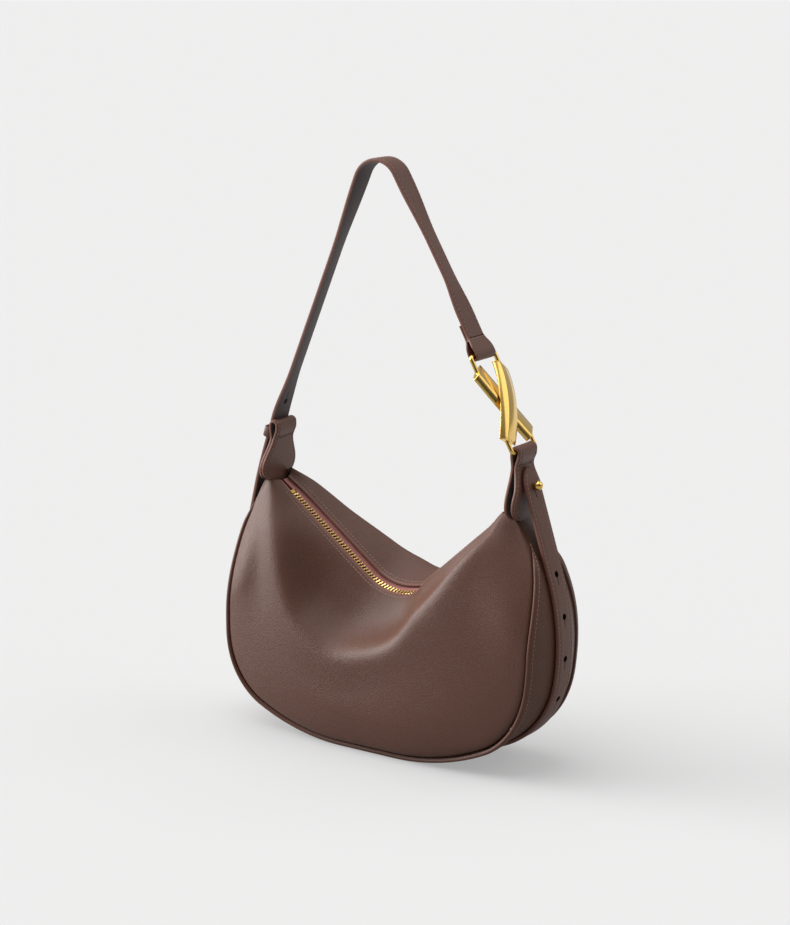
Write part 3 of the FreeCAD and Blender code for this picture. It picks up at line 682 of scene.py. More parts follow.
def back_poles(k):
    """Lines across the back, from its edge at the zip over the rim and belly to its seam."""
    fade = mouth_fade(k)
    seam = seam_points(k, 1)
    edge = mouth_points(k, 6.8 * MM, 3.0 * MM)
    lip = mouth_points(k, (8.8 + 4 * fade) * MM, 3.4 * MM)
    rise = shape().rim_rise * smooth_table(k, RIM_PLACES, RIM_RISE)
    rim = edge + UP * rise[:, None]
    rim[:, 1] = end_half() + (RIM_DEPTH - end_half()) * fade ** 1.2
    behind = between(rim, seam, 0.06, rim[:, 1] + 5 * MM * fade)
    shoulder = between(rim, seam, 0.3, end_half() + (SHOULDER_DEPTH - end_half()) * fade ** 1.3)
    swollen = [between(rim, seam, at, seam[:, 1] + amount * belly_swell() * fade)
               for at, amount in ((0.66, 1.0), (0.92, 0.66), (0.985, 0.4))]
    return [edge, lip, rim, behind, shoulder] + swollen + [tuck_points(k, 1)]


LIP_ROLL = ((0.2, 1.9), (0.75, 1.5), (0.95, 0.9), (0.7, 0.3))


def panel_grid(poles, side, rows=181, columns=84):
    """Grid over a panel, its first columns rolled under at the zip."""
    k = np.linspace(-1, 1, rows)
    stack = np.stack(poles(k), 1)
    weights = spline_weights(stack.shape[1], columns)
    grid = np.einsum("cp,kpx->kcx", weights, stack)
    _, _, across, face = zip_frame(k)
    roll = [grid[:, 0] - across * side * inward * MM - face * drop * MM for inward, drop in LIP_ROLL]
    return np.concatenate([np.stack(roll, 1), grid], axis=1)


def inset_line(grid, normals, distance):
    """Line over a panel at a set distance from its edge at the zip, with the leather's outward normals."""
    rows = grid[:, len(LIP_ROLL):]
    ups = normals[:, len(LIP_ROLL):]
    steps = np.cumsum(np.linalg.norm(np.diff(rows, axis=1), axis=2), axis=1)
    runs = np.concatenate([np.zeros((len(rows), 1)), steps], axis=1)
    line = np.array([along_line(row, run, distance) for row, run in zip(rows, runs)])
    up = np.array([along_line(row, run, distance) for row, run in zip(ups, runs)])
    return line, up


def belt_runs(low, high, step=2.5 * MM):
    """Evenly spread runs along a strap."""
    return np.linspace(low, high, int((high - low) / step) + 1)


HUG_RUN = outline_path().length
UPPER_LOOP = np.array([75.926 * MM, 0, 306.497 * MM])
LOWER_LOOP = np.array(joint_place["buckle_swing"])
RUN_WAY = (LOWER_LOOP - UPPER_LOOP) / np.linalg.norm(LOWER_LOOP - UPPER_LOOP)
RUN_OUT = np.array([-RUN_WAY[2], 0, RUN_WAY[0]])
LOOP_OFFSET = 1.05 * MM
LOOP_HALF = 15.8 * MM
WIRE_RADIUS = 1.6 * MM
BUCKLE_SPAN = float(np.linalg.norm(LOWER_LOOP - UPPER_LOOP))


def on_run(along, out):
    """Point in the plane of the right run: along it from the upper loop, and out from the strap's line."""
    return UPPER_LOOP + RUN_WAY * along + RUN_OUT * (out - LOOP_OFFSET)


# Finishes

class Wiring:
    """Adds nodes to the node tree of a material, a group or the world, and joins them."""

    def __init__(self, tree):
        self.nodes = tree.nodes
        self.links = tree.links

    def feed(self, socket, value):
        """Join an output to a socket, or set the socket to a plain value."""
        if isinstance(value, bpy.types.NodeSocket):
            self.links.new(value, socket)
        elif value is not None:
            socket.default_value = value

    def place(self, kind="Object"):
        return self.nodes.new("ShaderNodeTexCoord").outputs[kind]

    def maths(self, operation, first, second=None, addend=None, clamp=False):
        node = self.nodes.new("ShaderNodeMath")
        node.operation = operation
        node.use_clamp = clamp
        for socket, value in zip(node.inputs, (first, second, addend)):
            self.feed(socket, value)
        return node.outputs[0]

    def mixed(self, share, first, second):
        """The first colour where share is nothing, the second where it is one."""
        node = self.nodes.new("ShaderNodeMix")
        node.data_type = "RGBA"
        for name, value in (("Factor_Float", share), ("A_Color", first), ("B_Color", second)):
            self.feed(next(s for s in node.inputs if s.identifier == name), value)
        return next(s for s in node.outputs if s.identifier == "Result_Color")

    def noise(self, place, scale, detail=2):
        node = self.nodes.new("ShaderNodeTexNoise")
        node.inputs["Scale"].default_value = scale
        node.inputs["Detail"].default_value = detail
        self.feed(node.inputs["Vector"], place)
        return node.outputs[0]


def new_material(name):
    material = bpy.data.materials.new(name)
    material.use_nodes = True
    wiring = Wiring(material.node_tree)
    return material, wiring, wiring.nodes["Principled BSDF"]


def new_group(name, inputs, outputs):
    """Empty shader group, its wiring, what it is given and what it puts out."""
    group = bpy.data.node_groups.new(name, "ShaderNodeTree")
    for label, kind, default in inputs:
        group.interface.new_socket(label, in_out="INPUT", socket_type=kind).default_value = default
    for label, kind in outputs:
        group.interface.new_socket(label, in_out="OUTPUT", socket_type=kind)
    wiring = Wiring(group)
    inside = wiring.nodes.new("NodeGroupInput")
    outside = wiring.nodes.new("NodeGroupOutput")
    return group, wiring, inside.outputs, outside.inputs


def grain_group():
    """Fine pebbled grain: height for bump, darker valleys and a slow drift of tone."""
    group, wiring, given, put_out = new_group(
        "Leather grain",
        [("Color", "NodeSocketColor", (0.1, 0.05, 0.03, 1)), ("Pebble scale", "NodeSocketFloat", 900.0),
         ("Valley", "NodeSocketFloat", 0.25), ("Drift", "NodeSocketFloat", 0.12),
         ("Roughness", "NodeSocketFloat", 0.45)],
        [("Color", "NodeSocketColor"), ("Roughness", "NodeSocketFloat"), ("Height", "NodeSocketFloat")])
    place = wiring.place()
    pebble = wiring.nodes.new("ShaderNodeTexVoronoi")
    pebble.feature = "SMOOTH_F1"
    pebble.inputs["Smoothness"].default_value = 0.35
    wiring.feed(pebble.inputs["Vector"], place)
    wiring.feed(pebble.inputs["Scale"], given["Pebble scale"])
    gap = pebble.outputs["Distance"]
    pores = wiring.maths("MULTIPLY", wiring.noise(place, 2600), 0.3)
    slow = wiring.noise(place, 14, 3)
    valley = wiring.maths("MULTIPLY", gap, given["Valley"], clamp=True)
    valley_brown = (0.012, 0.006, 0.004, 1)
    dark = wiring.mixed(valley, given["Color"], valley_brown)
    drift = wiring.maths("MULTIPLY", wiring.maths("SUBTRACT", slow, 0.35, clamp=True), given["Drift"])
    faded_brown = (0.20, 0.105, 0.075, 1)
    dull = wiring.maths("MULTIPLY", valley, 0.5)
    wiring.feed(put_out["Color"], wiring.mixed(drift, dark, faded_brown))
    wiring.feed(put_out["Roughness"], wiring.maths("ADD", given["Roughness"], dull))
    wiring.feed(put_out["Height"], wiring.maths("ADD", wiring.maths("SUBTRACT", 1.0, gap), pores))
    return group


def weave_group():
    """Crossed threads for tape, lining and stitching."""
    group, wiring, given, put_out = new_group(
        "Woven thread",
        [("Color", "NodeSocketColor", (0.1, 0.05, 0.03, 1)), ("Thread scale", "NodeSocketFloat", 1500.0),
         ("Shade", "NodeSocketFloat", 0.4)],
        [("Color", "NodeSocketColor"), ("Height", "NodeSocketFloat")])
    place = wiring.place()
    threads = []
    for direction in ("Y", "DIAGONAL"):
        wave = wiring.nodes.new("ShaderNodeTexWave")
        wave.wave_type = "BANDS"
        wave.bands_direction = direction
        wave.inputs["Distortion"].default_value = 0.6
        wiring.feed(wave.inputs["Vector"], place)
        wiring.feed(wave.inputs["Scale"], given["Thread scale"])
        threads.append(wave.outputs["Fac"])
    height = wiring.maths("MULTIPLY", *threads)
    shade = wiring.maths("MULTIPLY", wiring.maths("SUBTRACT", 1.0, height), given["Shade"])
    between_threads = (0.02, 0.012, 0.01, 1)
    wiring.feed(put_out["Color"], wiring.mixed(shade, given["Color"], between_threads))
    wiring.feed(put_out["Height"], height)
    return group


def metal_group():
    """Plating with a slow tone drift and fine polish marks."""
    group, wiring, given, put_out = new_group(
        "Plated metal",
        [("Color", "NodeSocketColor", (0.86, 0.58, 0.17, 1)), ("Roughness", "NodeSocketFloat", 0.2)],
        [("Color", "NodeSocketColor"), ("Roughness", "NodeSocketFloat"), ("Height", "NodeSocketFloat")])
    place = wiring.place()
    drift = wiring.maths("MULTIPLY", wiring.noise(place, 120), 0.18)
    fine = wiring.noise(place, 1800)
    deep_gold = (0.62, 0.36, 0.07, 1)
    polish = wiring.maths("MULTIPLY", fine, 0.06)
    wiring.feed(put_out["Color"], wiring.mixed(drift, given["Color"], deep_gold))
    wiring.feed(put_out["Roughness"], wiring.maths("ADD", given["Roughness"], polish))
    wiring.feed(put_out["Height"], fine)
    return group


def grouped_material(name, group, color, bump_strength, bump_height, specular=0.5, metallic=0.0, rough=None,
                     **values):
    """Material round a shared group: values are its inputs, rough is for a group without roughness."""
    material, wiring, shader = new_material(name)
    node = wiring.nodes.new("ShaderNodeGroup")
    node.node_tree = group
    node.inputs["Color"].default_value = (*color, 1)
    for label, value in values.items():
        node.inputs[label.replace("_", " ")].default_value = value
    bump = wiring.nodes.new("ShaderNodeBump")
    bump.inputs["Strength"].default_value = bump_strength
    bump.inputs["Distance"].default_value = bump_height
    wiring.feed(bump.inputs["Height"], node.outputs["Height"])
    wiring.feed(shader.inputs["Base Color"], node.outputs["Color"])
    wiring.feed(shader.inputs["Roughness"], node.outputs["Roughness"] if rough is None else rough)
    wiring.feed(shader.inputs["Normal"], bump.outputs[0])
    shader.inputs["Specular IOR Level"].default_value = specular
    shader.inputs["Metallic"].default_value = metallic
    return material


finishes = {}


def make_finishes():
    grain, weave, plate = grain_group(), weave_group(), metal_group()
    color = finish()
    # Near-black brown: painted shade on the walls of the cut holes and along the crease lines where plies
    # end.
    hole_and_crease_shade = (0.012, 0.008, 0.007)
    tooth_gold = (0.90, 0.66, 0.26)
    finishes["body"] = grouped_material(
        "Body leather", grain, color.leather, 0.7, 0.3 * MM, specular=0.45, Roughness=0.38,
        Pebble_scale=1500.0)
    finishes["welt"] = grouped_material(
        "Welt leather", grain, color.leather, 0.3, 0.2 * MM, specular=0.35, Roughness=0.38)
    finishes["strap"] = grouped_material(
        "Strap leather", grain, color.strap, 0.3, 0.2 * MM, specular=0.45, Roughness=0.42,
        Pebble_scale=1100.0)
    finishes["inside"] = grouped_material(
        "Strap inside", grain, color.strap_inside, 0.2, 0.2 * MM, specular=0.25, Roughness=0.55,
        Pebble_scale=1600.0, Drift=0.05)
    # Real edge paint on cut strap edges; on the rolled lips at the zip it is a painted highlight.
    finishes["edge"] = grouped_material(
        "Edge paint and lip highlight", grain, color.edge_paint_and_lip_highlight, 0.08, 0.1 * MM, Roughness=0.42, Pebble_scale=2500.0,
        Valley=0.08)
    # Painted shade: near-black for the walls of cut holes and for crease lines.
    finishes["hole"] = grouped_material(
        "Painted hole and crease shade", grain, hole_and_crease_shade, 0.05, 0.1 * MM, specular=0.1, Roughness=0.8)
    finishes["thread"] = grouped_material(
        "Thread", weave, color.thread, 0.3, 0.1 * MM, rough=0.6, Thread_scale=2400.0)
    finishes["lining"] = grouped_material("Lining cloth", weave, color.lining, 0.3, 0.2 * MM, rough=0.85)
    finishes["tape"] = grouped_material(
        "Zip tape", weave, color.tape, 0.4, 0.2 * MM, rough=0.75, Thread_scale=1300.0)
    finishes["gold"] = grouped_material(
        "Gold plate", plate, color.gold, 0.03, 0.1 * MM, metallic=1.0, Roughness=0.13)
    finishes["teeth"] = grouped_material(
        "Zip metal", plate, tooth_gold, 0.03, 0.1 * MM, metallic=1.0, Roughness=0.16)


def strap_finishes():
    return [finishes["edge"], finishes["strap"], finishes["inside"]]


def dress(nodes):
    """Hide the nodes of the frame that a piece takes the place of."""
    if nodes:
        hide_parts(*nodes)


def settle(obj, body, slot, *nodes):
    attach(obj, body)
    dress(nodes)


def bend_at_mouth(obj, *nodes):
    """Leather from bag to handle: bakes its placement into its mesh and hides the nodes it replaces."""
    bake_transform(obj)
    dress(nodes)


# Pieces

class BAG_OT_body(bpy.types.Operator):
    """Make the slouched front and back panels, the gusset and the welts"""
    bl_idname = "half_moon_bag.body"
    bl_label = "Body leather"

    def execute(self, context):
        skins = [finishes["body"], finishes["lining"]]
        for name, poles, side in (("front", front_poles, -1), ("back", back_poles, 1)):
            grid = panel_grid(poles, side)
            normals = grid_normals(grid) * side
            rolled = len(LIP_ROLL)
            columns = np.arange(grid.shape[1])
            thickness = np.interp(columns, [rolled, 2 * rolled + 2], [LIP_LEATHER, LEATHER])
            # The rolled lip takes the lighter edge paint: a painted highlight along the lip's edge at the
            # zip.
            panel = sheet_object(name + "_leather", grid, grid - normals * thickness[:, None],
                                 skins + [finishes["edge"]], rolled + 1)
            settle(panel, "bag", "body_leather", name + "_panel", name + "_lining")
            line, up = inset_line(grid, normals, 3.2 * MM)
            clear_of_tabs = slice(8, -8)
            rows = stitches("zip_" + name + "_stitches", line[clear_of_tabs], up[clear_of_tabs], 2.8 * MM)
            settle(rows, "bag", "body_leather")
        k = np.linspace(-1, 1, 181)
        half = half_depth(np.abs(k) * gusset_path().length)
        shares = np.linspace(-1, 1, 33)
        outer, inner = (np.stack([gusset_points(k, half * share, lift) for share in shares], 1)
                        for lift in (0.0, -1.8 * MM))
        gusset = sheet_object("gusset_leather", outer, inner, skins)
        settle(gusset, "bag", "body_leather", "gusset", "gusset_lining")
        for name, side in (("front", -1), ("back", 1)):
            self.make_welt(name, side)
        return {"FINISHED"}

    @staticmethod
    def make_welt(name, side):
        """Folded strip over a seam, fading into the leather near the tabs."""
        end = 0.925
        k = np.linspace(-end, end, 281)
        half = half_depth(np.abs(k) * gusset_path().length)
        size = smooth_step(0.0, 0.07, end - np.abs(k)) * 0.85 + 0.15
        section = [(-2.2, -0.6), (-2.2, 0.9), (-1.6, 1.7), (-0.5, 2.0), (0.5, 1.75), (1.5, 2.0),
                   (2.7, 2.15), (3.6, 1.8), (4.0, 0.9), (3.7, -0.3), (2.6, -1.4)]
        rings = np.stack([gusset_points(k, side * (half + reach * MM * size), lift * MM * size)
                          for reach, lift in section], 1)
        welt = tube_object(name + "_welt_leather", rings, [finishes["welt"]], [0] * len(section))
        settle(welt, "bag", "welt_leather", name + "_welt")
        line = gusset_points(k, side * (half + 0.5 * MM * size), 1.78 * MM * size)
        settle(stitches(name + "_welt_stitches", line, gusset_outward(k)), "bag", "welt_leather")


class BAG_OT_zip(bpy.types.Operator):
    """Make the zip's tapes and teeth"""
    bl_idname = "half_moon_bag.zip"
    bl_label = "Zip"

    def execute(self, context):
        k = np.linspace(-1, 1, 161)
        for name, side, far in (("front", -1, 7.0), ("back", 1, 9.0)):
            tape = np.linspace(1.2, far, 8)
            bead = 0.35 + 0.35 * np.exp(-((tape - 1.6) / 0.6) ** 2)
            outer, inner = (np.stack([mouth_points(k, side * y * MM, face * t * MM)
                                      for y, t in zip(tape, bead)], 1) for face in (1, -1))
            woven = sheet_object("zip_" + name + "_tape", outer, inner, [finishes["tape"]] * 2)
            settle(woven, "bag", "zip_tape", "zip_tape_" + name)
            settle(self.make_teeth(name, side), "bag", "gold_metal", "zip_teeth_" + name)
        return {"FINISHED"}

    @staticmethod
    def make_teeth(name, side):
        """One row of rounded metal teeth, from the bottom stop to the top stops.

        On the slider's own stretch the two rows stand a little apart, to let its blade through.
        """
        path = zip_path()
        first = 19.2 * MM
        last = path.length - 19 * MM
        slide_from = path.length - 100 * MM
        pitch = shape().tooth_pitch
        stagger = 0.38 if side < 0 else 0.62
        waist = 0.7
        parted = 0.6
        plan = [(0.5, 2.4), (0.55, 1.2), (0.68, 0.6), (0.6, 0.0), (0.3, -0.2), (-0.3, -0.2), (-0.6, 0.0),
                (-0.68, 0.6), (-0.55, 1.2), (-0.5, 2.4)]
        layers = [(-1.1, 0.86), (-0.9, 1.0), (0.85, 1.0), (1.1, 0.80)]
        vertices = []
        faces = []
        span = path.length - 2 * MOUTH_INSET
        for index in range(int((last - first) / pitch)):
            run = first + (index + stagger) * pitch
            k = np.array([2 * (run - MOUTH_INSET) / span - 1])
            points, way, across, face = (v[0] for v in zip_frame(k))
            middle = waist + parted * smooth_step(slide_from, slide_from + 8 * MM, run)
            faces += stacked_rings(len(vertices), len(layers), len(plan))
            for lift, shrink in layers:
                for along, reach in plan:
                    out = side * (middle + (reach - waist) * shrink)
                    vertices.append(points + (way * along * shrink + across * out + face * lift) * MM)
        return make_object("zip_" + name + "_teeth", vertices, faces, [finishes["teeth"]], sharp=35)


def fold_flare(above):
    """Share by which the strap has widened at a distance above its wire loop."""
    return 1 - smooth_step(5 * MM, 14 * MM, above)


class BAG_OT_belt(bpy.types.Operator):
    """Make the belt that runs round the gusset and buttons on the stud"""
    bl_idname = "half_moon_bag.belt"
    bl_label = "Belt"

    def execute(self, context):
        low = -HUG_RUN - straight_run(34 * MM)
        tail = HUG_RUN + straight_run(36.2 * MM)
        taper = 16.5 * MM
        hole_spacing = 31 * MM
        stud_run = HUG_RUN + straight_run(21.9 * MM)

        blunt = 0.003

        def half_width(run):
            t = np.clip((run - tail + taper) / taper, 0, 1)
            return shape().strap_width / 2 * np.sqrt(np.maximum(1 - t ** 2, blunt))

        round_end = tail - taper * (1 - np.linspace(0, 1, 16)[1:])
        runs = np.concatenate([belt_runs(low, tail - taper), round_end])
        half = half_width(runs)
        profile = strap_profile(shape().strap_thickness, STRAP_GROOVE)
        rings = np.zeros((len(runs), len(profile), 3))
        for j, (side, inset, height, _) in enumerate(profile):
            points, _, _ = belt_point(runs, BELT_GAP + height)
            rings[:, j] = points + SIDE * (side * np.maximum(half - inset, THINNEST))[:, None]
        belt = tube_object("belt_leather", rings, strap_finishes(), [entry[3] for entry in profile])
        cutters = []
        for place in [HUG_RUN + 2 * MM - i * hole_spacing for i in range(4)] + [stud_run]:
            points, way, out = belt_point(np.array([place]), 2 * MM)
            cutters.append(hole_cutter(points[0], out[0], -way[0]))
        carve(belt, cutters)
        bend_at_mouth(belt, "belt_outer", "belt_lining", "belt_tip_outer", "belt_tip_lining")
        stitched = runs[runs < tail - 4 * MM]
        points, _, out = belt_point(stitched, BELT_GAP + shape().strap_thickness - STITCH_SINK)
        points[:, 2] = np.maximum(points[:, 2], 0.5 * MM)
        for rows in edge_stitches("belt_stitches", points, out, half_width(stitched)):
            bend_at_mouth(rows)
        return {"FINISHED"}


class BAG_OT_strap(bpy.types.Operator):
    """Make the shoulder strap, its fold round the upper wire loop and the keeper"""
    bl_idname = "half_moon_bag.strap"
    bl_label = "Shoulder strap"

    def execute(self, context):
        keeper_run = straight_run(36.2 * MM)
        bend_run = straight_run(53.4 * MM)
        leave = belt_point(np.array([-HUG_RUN]), 0.0)[0][0]
        bend = belt_point(np.array([-HUG_RUN - bend_run]), 0.0)[0][0]
        apex = np.array([-12.4 * MM, 0, MOUTH_HEIGHT + 268.5 * MM])
        neck = on_run(-11 * MM, 0)
        path = rounded_path([leave, bend, apex, on_run(-60 * MM, 0), neck], [120 * MM, 17 * MM, 200 * MM])
        top = path.spans[3][0]
        past = top + path.spans[3][1]
        runs = belt_runs(keeper_run - 4 * MM, path.length)
        half_strap = shape().strap_width / 2
        half_fold = shape().fold_width / 2
        half = half_strap + (half_fold - half_strap) * fold_flare(path.length - runs + 11 * MM)
        rising = (runs - keeper_run) / (top - keeper_run)
        falling = (runs - past) / (path.length - past)
        left = smooth_step(0.05, 0.25, rising) * (1 - smooth_step(0.7, 1.0, rising))
        right = smooth_step(0.05, 0.4, falling) * (1 - smooth_step(0.6, 0.85, falling))
        most_twist = -math.radians(14)
        across = turned_side(most_twist * np.where(runs < top, left, right))
        strap = strap_object("shoulder_strap", path, runs, BELT_GAP, shape().strap_thickness, half,
                             strap_finishes(), across=across)
        points, way, out = path.at(np.array([straight_run(59.1 * MM)]), 2 * MM)
        carve(strap, [hole_cutter(points[0], out[0], way[0])])
        self.flex(strap, "shoulder_strap_outer", "shoulder_strap_lining", "strap_drop_lining")
        points, _, out = path.at(runs, BELT_GAP + shape().strap_thickness - STITCH_SINK)
        for rows in edge_stitches("strap_stitches", points, out, half, across):
            self.flex(rows)
        self.make_chape(half_strap, half_fold)
        self.make_keeper(keeper_run)
        return {"FINISHED"}

    @staticmethod
    def flex(obj, *nodes):
        """Strap leather: bakes its placement into its mesh and hides the nodes it replaces."""
        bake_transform(obj)
        dress(nodes)

    @staticmethod
    def make_chape(half_strap, half_fold):
        """Outer ply that carries on round the wire loop and returns inside."""
        ply = 1.5 * MM
        outer = BELT_GAP + shape().strap_thickness - 0.4 * ply
        back = -0.6 * MM
        radius = WIRE_RADIUS + 0.85 * MM + ply / 2
        end = WIRE_RADIUS + 0.9 * MM + ply / 2
        over, under = LOOP_OFFSET + radius, LOOP_OFFSET - radius
        corners = [on_run(along * MM, out) for along, out in ((-13, outer), (-11.3, outer), (-2.5, over))]
        corners += [on_run(end, over), on_run(end, under)]
        corners += [on_run(along * MM, out) for along, out in ((-2.5, under), (-11.3, back), (-24, back))]
        bend = radius * 0.98
        path = rounded_path(corners, [12 * MM, 8 * MM, bend, bend, 8 * MM, 20 * MM])
        runs = belt_runs(0.0, path.length, 0.8 * MM)
        points, _, _ = path.at(runs)
        above = -(points - UPPER_LOOP) @ RUN_WAY
        half = half_strap + (half_fold - half_strap) * fold_flare(above) + 0.1 * MM
        chape = strap_object("strap_fold", path, runs, -ply / 2, ply, half,
                             [finishes["edge"], finishes["strap"], finishes["strap"]], groove=0.0)
        settle(chape, "strap_drop", "strap_leather", "strap_drop_outer")
        across = np.linspace(-0.95, 0.95, 9) * half_strap
        # The second row is a painted shade line where the outer ply ends.
        for label, along, made in (("stitches", -12 * MM, stitches), ("crease", -13.2 * MM, crease)):
            line = on_run(along, outer + ply / 2) + SIDE * across[:, None]
            rows = made("strap_fold_" + label, line, np.tile(RUN_OUT, (len(line), 1)))
            settle(rows, "strap_drop", "strap_leather")

    @staticmethod
    def make_keeper(run):
        """Small leather loop that holds the strap against the left tab."""
        wall = 1.6 * MM
        room = shape().strap_width / 2 + 0.45 * MM
        cover = 4.2 * MM
        corner = 1.6 * MM
        side, high, low = room - corner, cover - corner, corner - 0.2 * MM
        outline = []
        for y, t, turn in ((side, high, 0), (-side, high, 90), (-side, low, 180), (side, low, 270)):
            for step in range(7):
                angle = math.radians(turn + 15 * step)
                outline.append((y, t, math.cos(angle), math.sin(angle)))
        middle, way, out = (v[0] for v in belt_point(np.array([-HUG_RUN - run]), 0.0))
        tall = 4.0 * MM
        flat = tall - 0.4 * MM
        section = [(-tall, 0.25), (-flat, 0.0), (flat, 0.0), (tall, 0.25), (tall, 0.75), (flat, 1.0),
                   (-flat, 1.0), (-tall, 0.75)]
        rings = np.zeros((len(outline), len(section), 3))
        for i, (y, t, a, b) in enumerate(outline):
            for j, (along, thick) in enumerate(section):
                reach = corner + wall * thick
                rings[i, j] = middle + way * along + SIDE * (y + a * reach) + out * (t + b * reach)
        keeper = loop_object("keeper_loop", rings, [finishes["strap"]])
        settle(keeper, "handle", "strap_leather", "strap_keeper")


class BAG_OT_tabs(bpy.types.Operator):
    """Make the two folded tabs at the ends of the mouth"""
    bl_idname = "half_moon_bag.tabs"
    bl_label = "Tabs"

    def execute(self, context):
        thick = shape().tab_thickness
        neck = belt_point(np.array([HUG_RUN + straight_run(38.1 * MM)]), -thick / 2)[0][0]
        knee = belt_point(np.array([HUG_RUN + straight_run(22 * MM)]), -thick / 2 - 1.2 * MM)[0][0]
        self.make_tab("right_tab", 1, LOWER_LOOP, neck, knee, 1.4 * MM)
        fold = np.array([102.4 * MM, 0, 234.5 * MM])
        neck = fold + np.array([2.4 * MM, 0, -11 * MM])
        knee = fold + np.array([6.6 * MM, 0, -33 * MM])
        self.make_tab("left_tab", -1, fold, neck, knee, 0.6 * MM)
        return {"FINISHED"}

    def make_tab(self, name, side, fold, neck, knee, outboard):
        """Leather from the mouth up over the fold and down again outside, with its stitching."""
        thick = shape().tab_thickness
        radius = WIRE_RADIUS + 0.35 * MM + thick / 2
        shoulder = -3.5 * MM
        seam_drop = 9 * MM
        foot_in = np.array([MOUTH_HALF + outboard, 0, MOUTH_HEIGHT + 6 * MM])
        foot_out = np.array([MOUTH_HALF + 5.8 * MM, 0, MOUTH_HEIGHT - 4 * MM])
        foot = MOUTH_HEIGHT - 3 * MM
        turns = ((-radius, shoulder), (-radius, radius), (radius, radius), (radius, shoulder))
        over = [fold + np.array([x, 0, z]) for x, z in turns]
        corners = [foot_in - UP * 10 * MM, foot_in, neck - np.array([thick + 0.2 * MM, 0, 0])]
        corners += over + [neck, knee, foot_out]
        bend = radius * 0.98
        track = rounded_path(corners, [40 * MM, 12 * MM, 8 * MM, bend, bend, 8 * MM, 12 * MM, 25 * MM])
        runs = belt_runs(0.0, track.length, 0.7 * MM)
        half = self.outline(track.at(runs)[0][:, 2], fold[2], foot)
        keep = np.flatnonzero(half > 0.3 * MM)
        runs, half = runs[keep[0]:keep[-1] + 1], half[keep[0]:keep[-1] + 1]
        tab = strap_object(name + "_leather", track, runs, -thick / 2, thick, half, strap_finishes(),
                           groove=0.2 * MM)
        bend_at_mouth(self.placed(tab, side), name + "_loop", name + "_foot")
        points, _, left = track.at(runs, thick / 2 - 0.05 * MM)
        for rows in edge_stitches(name + "_stitches", points, left, half):
            bend_at_mouth(self.placed(rows, side))
        gap = np.abs(points[:, 2] - fold[2] + seam_drop)
        for label, at in (("inside", np.argmin(gap)), ("outside", len(gap) - 1 - np.argmin(gap[::-1]))):
            seam = points[at] + np.linspace(-1, 1, 9)[:, None] * SIDE * (half[at] - STITCH_INSET)
            normals = np.tile(left[at], (len(seam), 1))
            # Besides the seam stitches, a painted shade line marks where the ply ends.
            for kind, made, drop in (("seam", stitches, 1.4 * MM), ("crease", crease, 0.0)):
                rows = made(name + "_" + kind + "_" + label, seam - UP * drop, normals)
                bend_at_mouth(self.placed(rows, side))

    @staticmethod
    def placed(obj, side):
        """Both tabs are drawn for the right end of the mouth; the left one is turned over."""
        if side < 0:
            obj.data.transform(Matrix.Scale(-1, 4, (1, 0, 0)))
            obj.data.flip_normals()
        return obj

    @staticmethod
    def outline(z, fold, foot):
        """Half width of a tab at each height: wide at the fold, drawn in below it, round at the foot."""
        wide = shape().fold_width / 2
        waist = 12.2 * MM
        lobe = 20.5 * MM
        waist_height = fold - 9 * MM
        lobe_height = foot + 13 * MM
        upper = waist + (wide - waist) * smooth_step(waist_height, fold - 4 * MM, z)
        lower = waist + (lobe - waist) * (1 - smooth_step(lobe_height, waist_height, z))
        drop = np.clip((lobe_height - z) / (lobe_height - foot), 0, 1)
        round_end = lobe * np.sqrt(np.maximum(1 - drop ** 2, 0))
        return np.where(z > waist_height, upper, np.where(z > lobe_height, lower, round_end))


